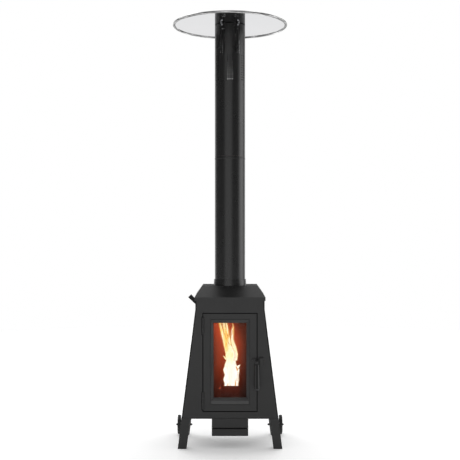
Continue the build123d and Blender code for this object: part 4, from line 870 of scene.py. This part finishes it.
def flue_screen(name, body):
    """Spark screen of round wires behind the smoke outlets, held between two flat hoops."""
    bm = bmesh.new()
    low, high = SCREEN_Z
    for row in range(1, int((high - low) / SCREEN_PITCH)):
        hoop(bm, low + row * SCREEN_PITCH, [(SCREEN_R + u, v) for u, v in WIRE])
    for turn in turns(round(2 * math.pi * SCREEN_R / SCREEN_PITCH)):
        out = Vector((math.cos(turn), math.sin(turn), 0)) * MM
        side = Vector((-math.sin(turn), math.cos(turn), 0)) * MM
        foot = [out * (SCREEN_R + 2 * WIRE_R + u) + side * v for u, v in WIRE]
        ends = [[bm.verts.new(p + Vector((0, 0, z * MM))) for p in foot] for z in SCREEN_Z]
        skin(bm, ends)
        for end in ends:
            bm.faces.new(end)
    for z in SCREEN_Z:
        hoop(bm, z, HOOP)
    bmesh.ops.recalc_face_normals(bm, faces=bm.faces)
    publish(name, bm, body, ["soot_and_gap_shade_black"], weighted=False)


flue_screen("flue_screen", BODY_OF["upper_flue"])

# ------------------------------------------------------------------ floor, light and camera
FLOOR_R = 5.5
FLOOR_DROP = 0.0005
FLOOR_LIFT = 0.24
# Upright soft boxes: azimuth from straight in front, half width at full strength, half width
# where it ends, strength.
FRONT_BOX = (-0.22, 0.30, 0.62, 0.95)
RIGHT_BOX = (1.66, 0.22, 0.52, 2.2)
BACK_RING = ((2.2, 2.5), (2.75, 3.0), 0.9)  # on both sides: where it starts, ends, strength
ROOM_LEVEL = 0.14
BOX_TOP = (0.205, 0.235, 1.0, 0.42)  # height of a ray where the boxes dim, and by how much
SKY_FROM = (0.32, 0.62)
SKY_LEVEL = (-0.05, 0.5, 0.62, 2.3)  # front to back
GROUND_FROM = (-0.2, -0.05)
GROUND_LEVEL = (-0.5, 0.5, 0.35, 0.95)
FIRE_COLOUR = (1.0, 0.22, 0.08)
FIRE_LIGHT_R = 0.03
EYE = (0.0, -4.586, 1.118)
SENSOR = 36.0
LENS = 67.7
SIGHT = 60.0


def make_floor():
    """A pale matt floor, lifted a little toward white."""
    bm = bmesh.new()
    bmesh.ops.create_circle(bm, cap_ends=True, segments=96, radius=FLOOR_R)
    mesh = bpy.data.meshes.new("floor")
    bm.to_mesh(mesh)
    bm.free()
    floor = bpy.data.objects.new("floor", mesh)
    bpy.context.scene.collection.objects.link(floor)
    floor.location.z = -FLOOR_DROP
    made, t = material("floor")
    matt = t.add("BsdfDiffuse", {"Color": (0.90, 0.90, 0.90, 1)}).outputs[0]
    lift = t.add("Emission", {"Strength": FLOOR_LIFT}).outputs[0]
    t.finish(t.add("AddShader", {0: matt, 1: lift}).outputs[0])
    mesh.materials.append(made)


def soft_box(t, azimuth, box):
    """Light of one upright soft box, by azimuth."""
    middle, full, end, strength = box
    off = t.math("ABSOLUTE", t.math("SUBTRACT", azimuth, middle))
    return t.math("MULTIPLY", t.span(off, full, end, 1.0, 0.0, smooth=True), strength)


def make_world():
    """A white studio: seen as plain white, and lighting the heater from soft boxes in front,
    above and right, with a ring behind."""
    world = bpy.data.worlds.new("studio")
    bpy.context.scene.world = world
    t = Tree(world)
    ray = t.add("TexCoord").outputs["Generated"]
    x, y, z = t.add("SeparateXYZ", {"Vector": ray}).outputs
    azimuth = t.math("ARCTAN2", x, t.math("MULTIPLY", y, -1.0))
    sideways = t.math("ABSOLUTE", azimuth)
    start, end, strength = BACK_RING
    ring = t.span(sideways, *start, smooth=True)
    ring = t.math("MULTIPLY", ring, t.span(sideways, *end, 1.0, 0.0, smooth=True))
    ring = t.math("MULTIPLY", ring, strength)
    level = t.math("ADD", soft_box(t, azimuth, FRONT_BOX), soft_box(t, azimuth, RIGHT_BOX))
    level = t.math("ADD", t.math("ADD", level, ring), ROOM_LEVEL)
    level = t.math("MULTIPLY", level, t.span(z, *BOX_TOP, smooth=True))
    above = t.span(z, *SKY_FROM, 0.0, 1.0, smooth=True)
    below = t.span(z, *GROUND_FROM, 1.0, 0.0, smooth=True)
    sky = t.span(y, *SKY_LEVEL, smooth=True)
    ground = t.span(y, *GROUND_LEVEL)
    level = t.add("Mix", {0: above, 2: level, 3: sky}).outputs[0]
    level = t.add("Mix", {0: below, 2: level, 3: ground}).outputs[0]
    lit = t.add("Background", {"Color": (1, 1, 1, 1), "Strength": level}).outputs[0]
    plain = t.add("Background", {"Color": (1, 1, 1, 1), "Strength": 1.0}).outputs[0]
    seen = t.add("LightPath").outputs["Is Camera Ray"]
    t.finish(t.add("MixShader", {0: seen, 1: lit, 2: plain}).outputs[0], "OutputWorld")


def fire_light(name, place, power):
    light = bpy.data.lights.new(name, "POINT")
    light.energy = power
    light.color = FIRE_COLOUR
    light.shadow_soft_size = FIRE_LIGHT_R
    lamp = bpy.data.objects.new(name, light)
    lamp.location = place
    lamp.visible_camera = False
    lamp.visible_glossy = False
    bpy.context.scene.collection.objects.link(lamp)


make_floor()
make_world()
fire_light("fire_low", (-0.01, -0.06, 0.40), 0.03)
fire_light("fire_high", (-0.04, -0.05, 0.56), 0.05)

camera = bpy.data.objects.new("camera", bpy.data.cameras.new("camera"))
camera.location = EYE
camera.rotation_euler = (math.radians(90), 0, 0)
camera.data.sensor_width = SENSOR
camera.data.lens = LENS
camera.data.clip_end = SIGHT
bpy.context.scene.collection.objects.link(camera)
bpy.context.scene.camera = camera
bpy.context.scene.view_settings.view_transform = "Standard"
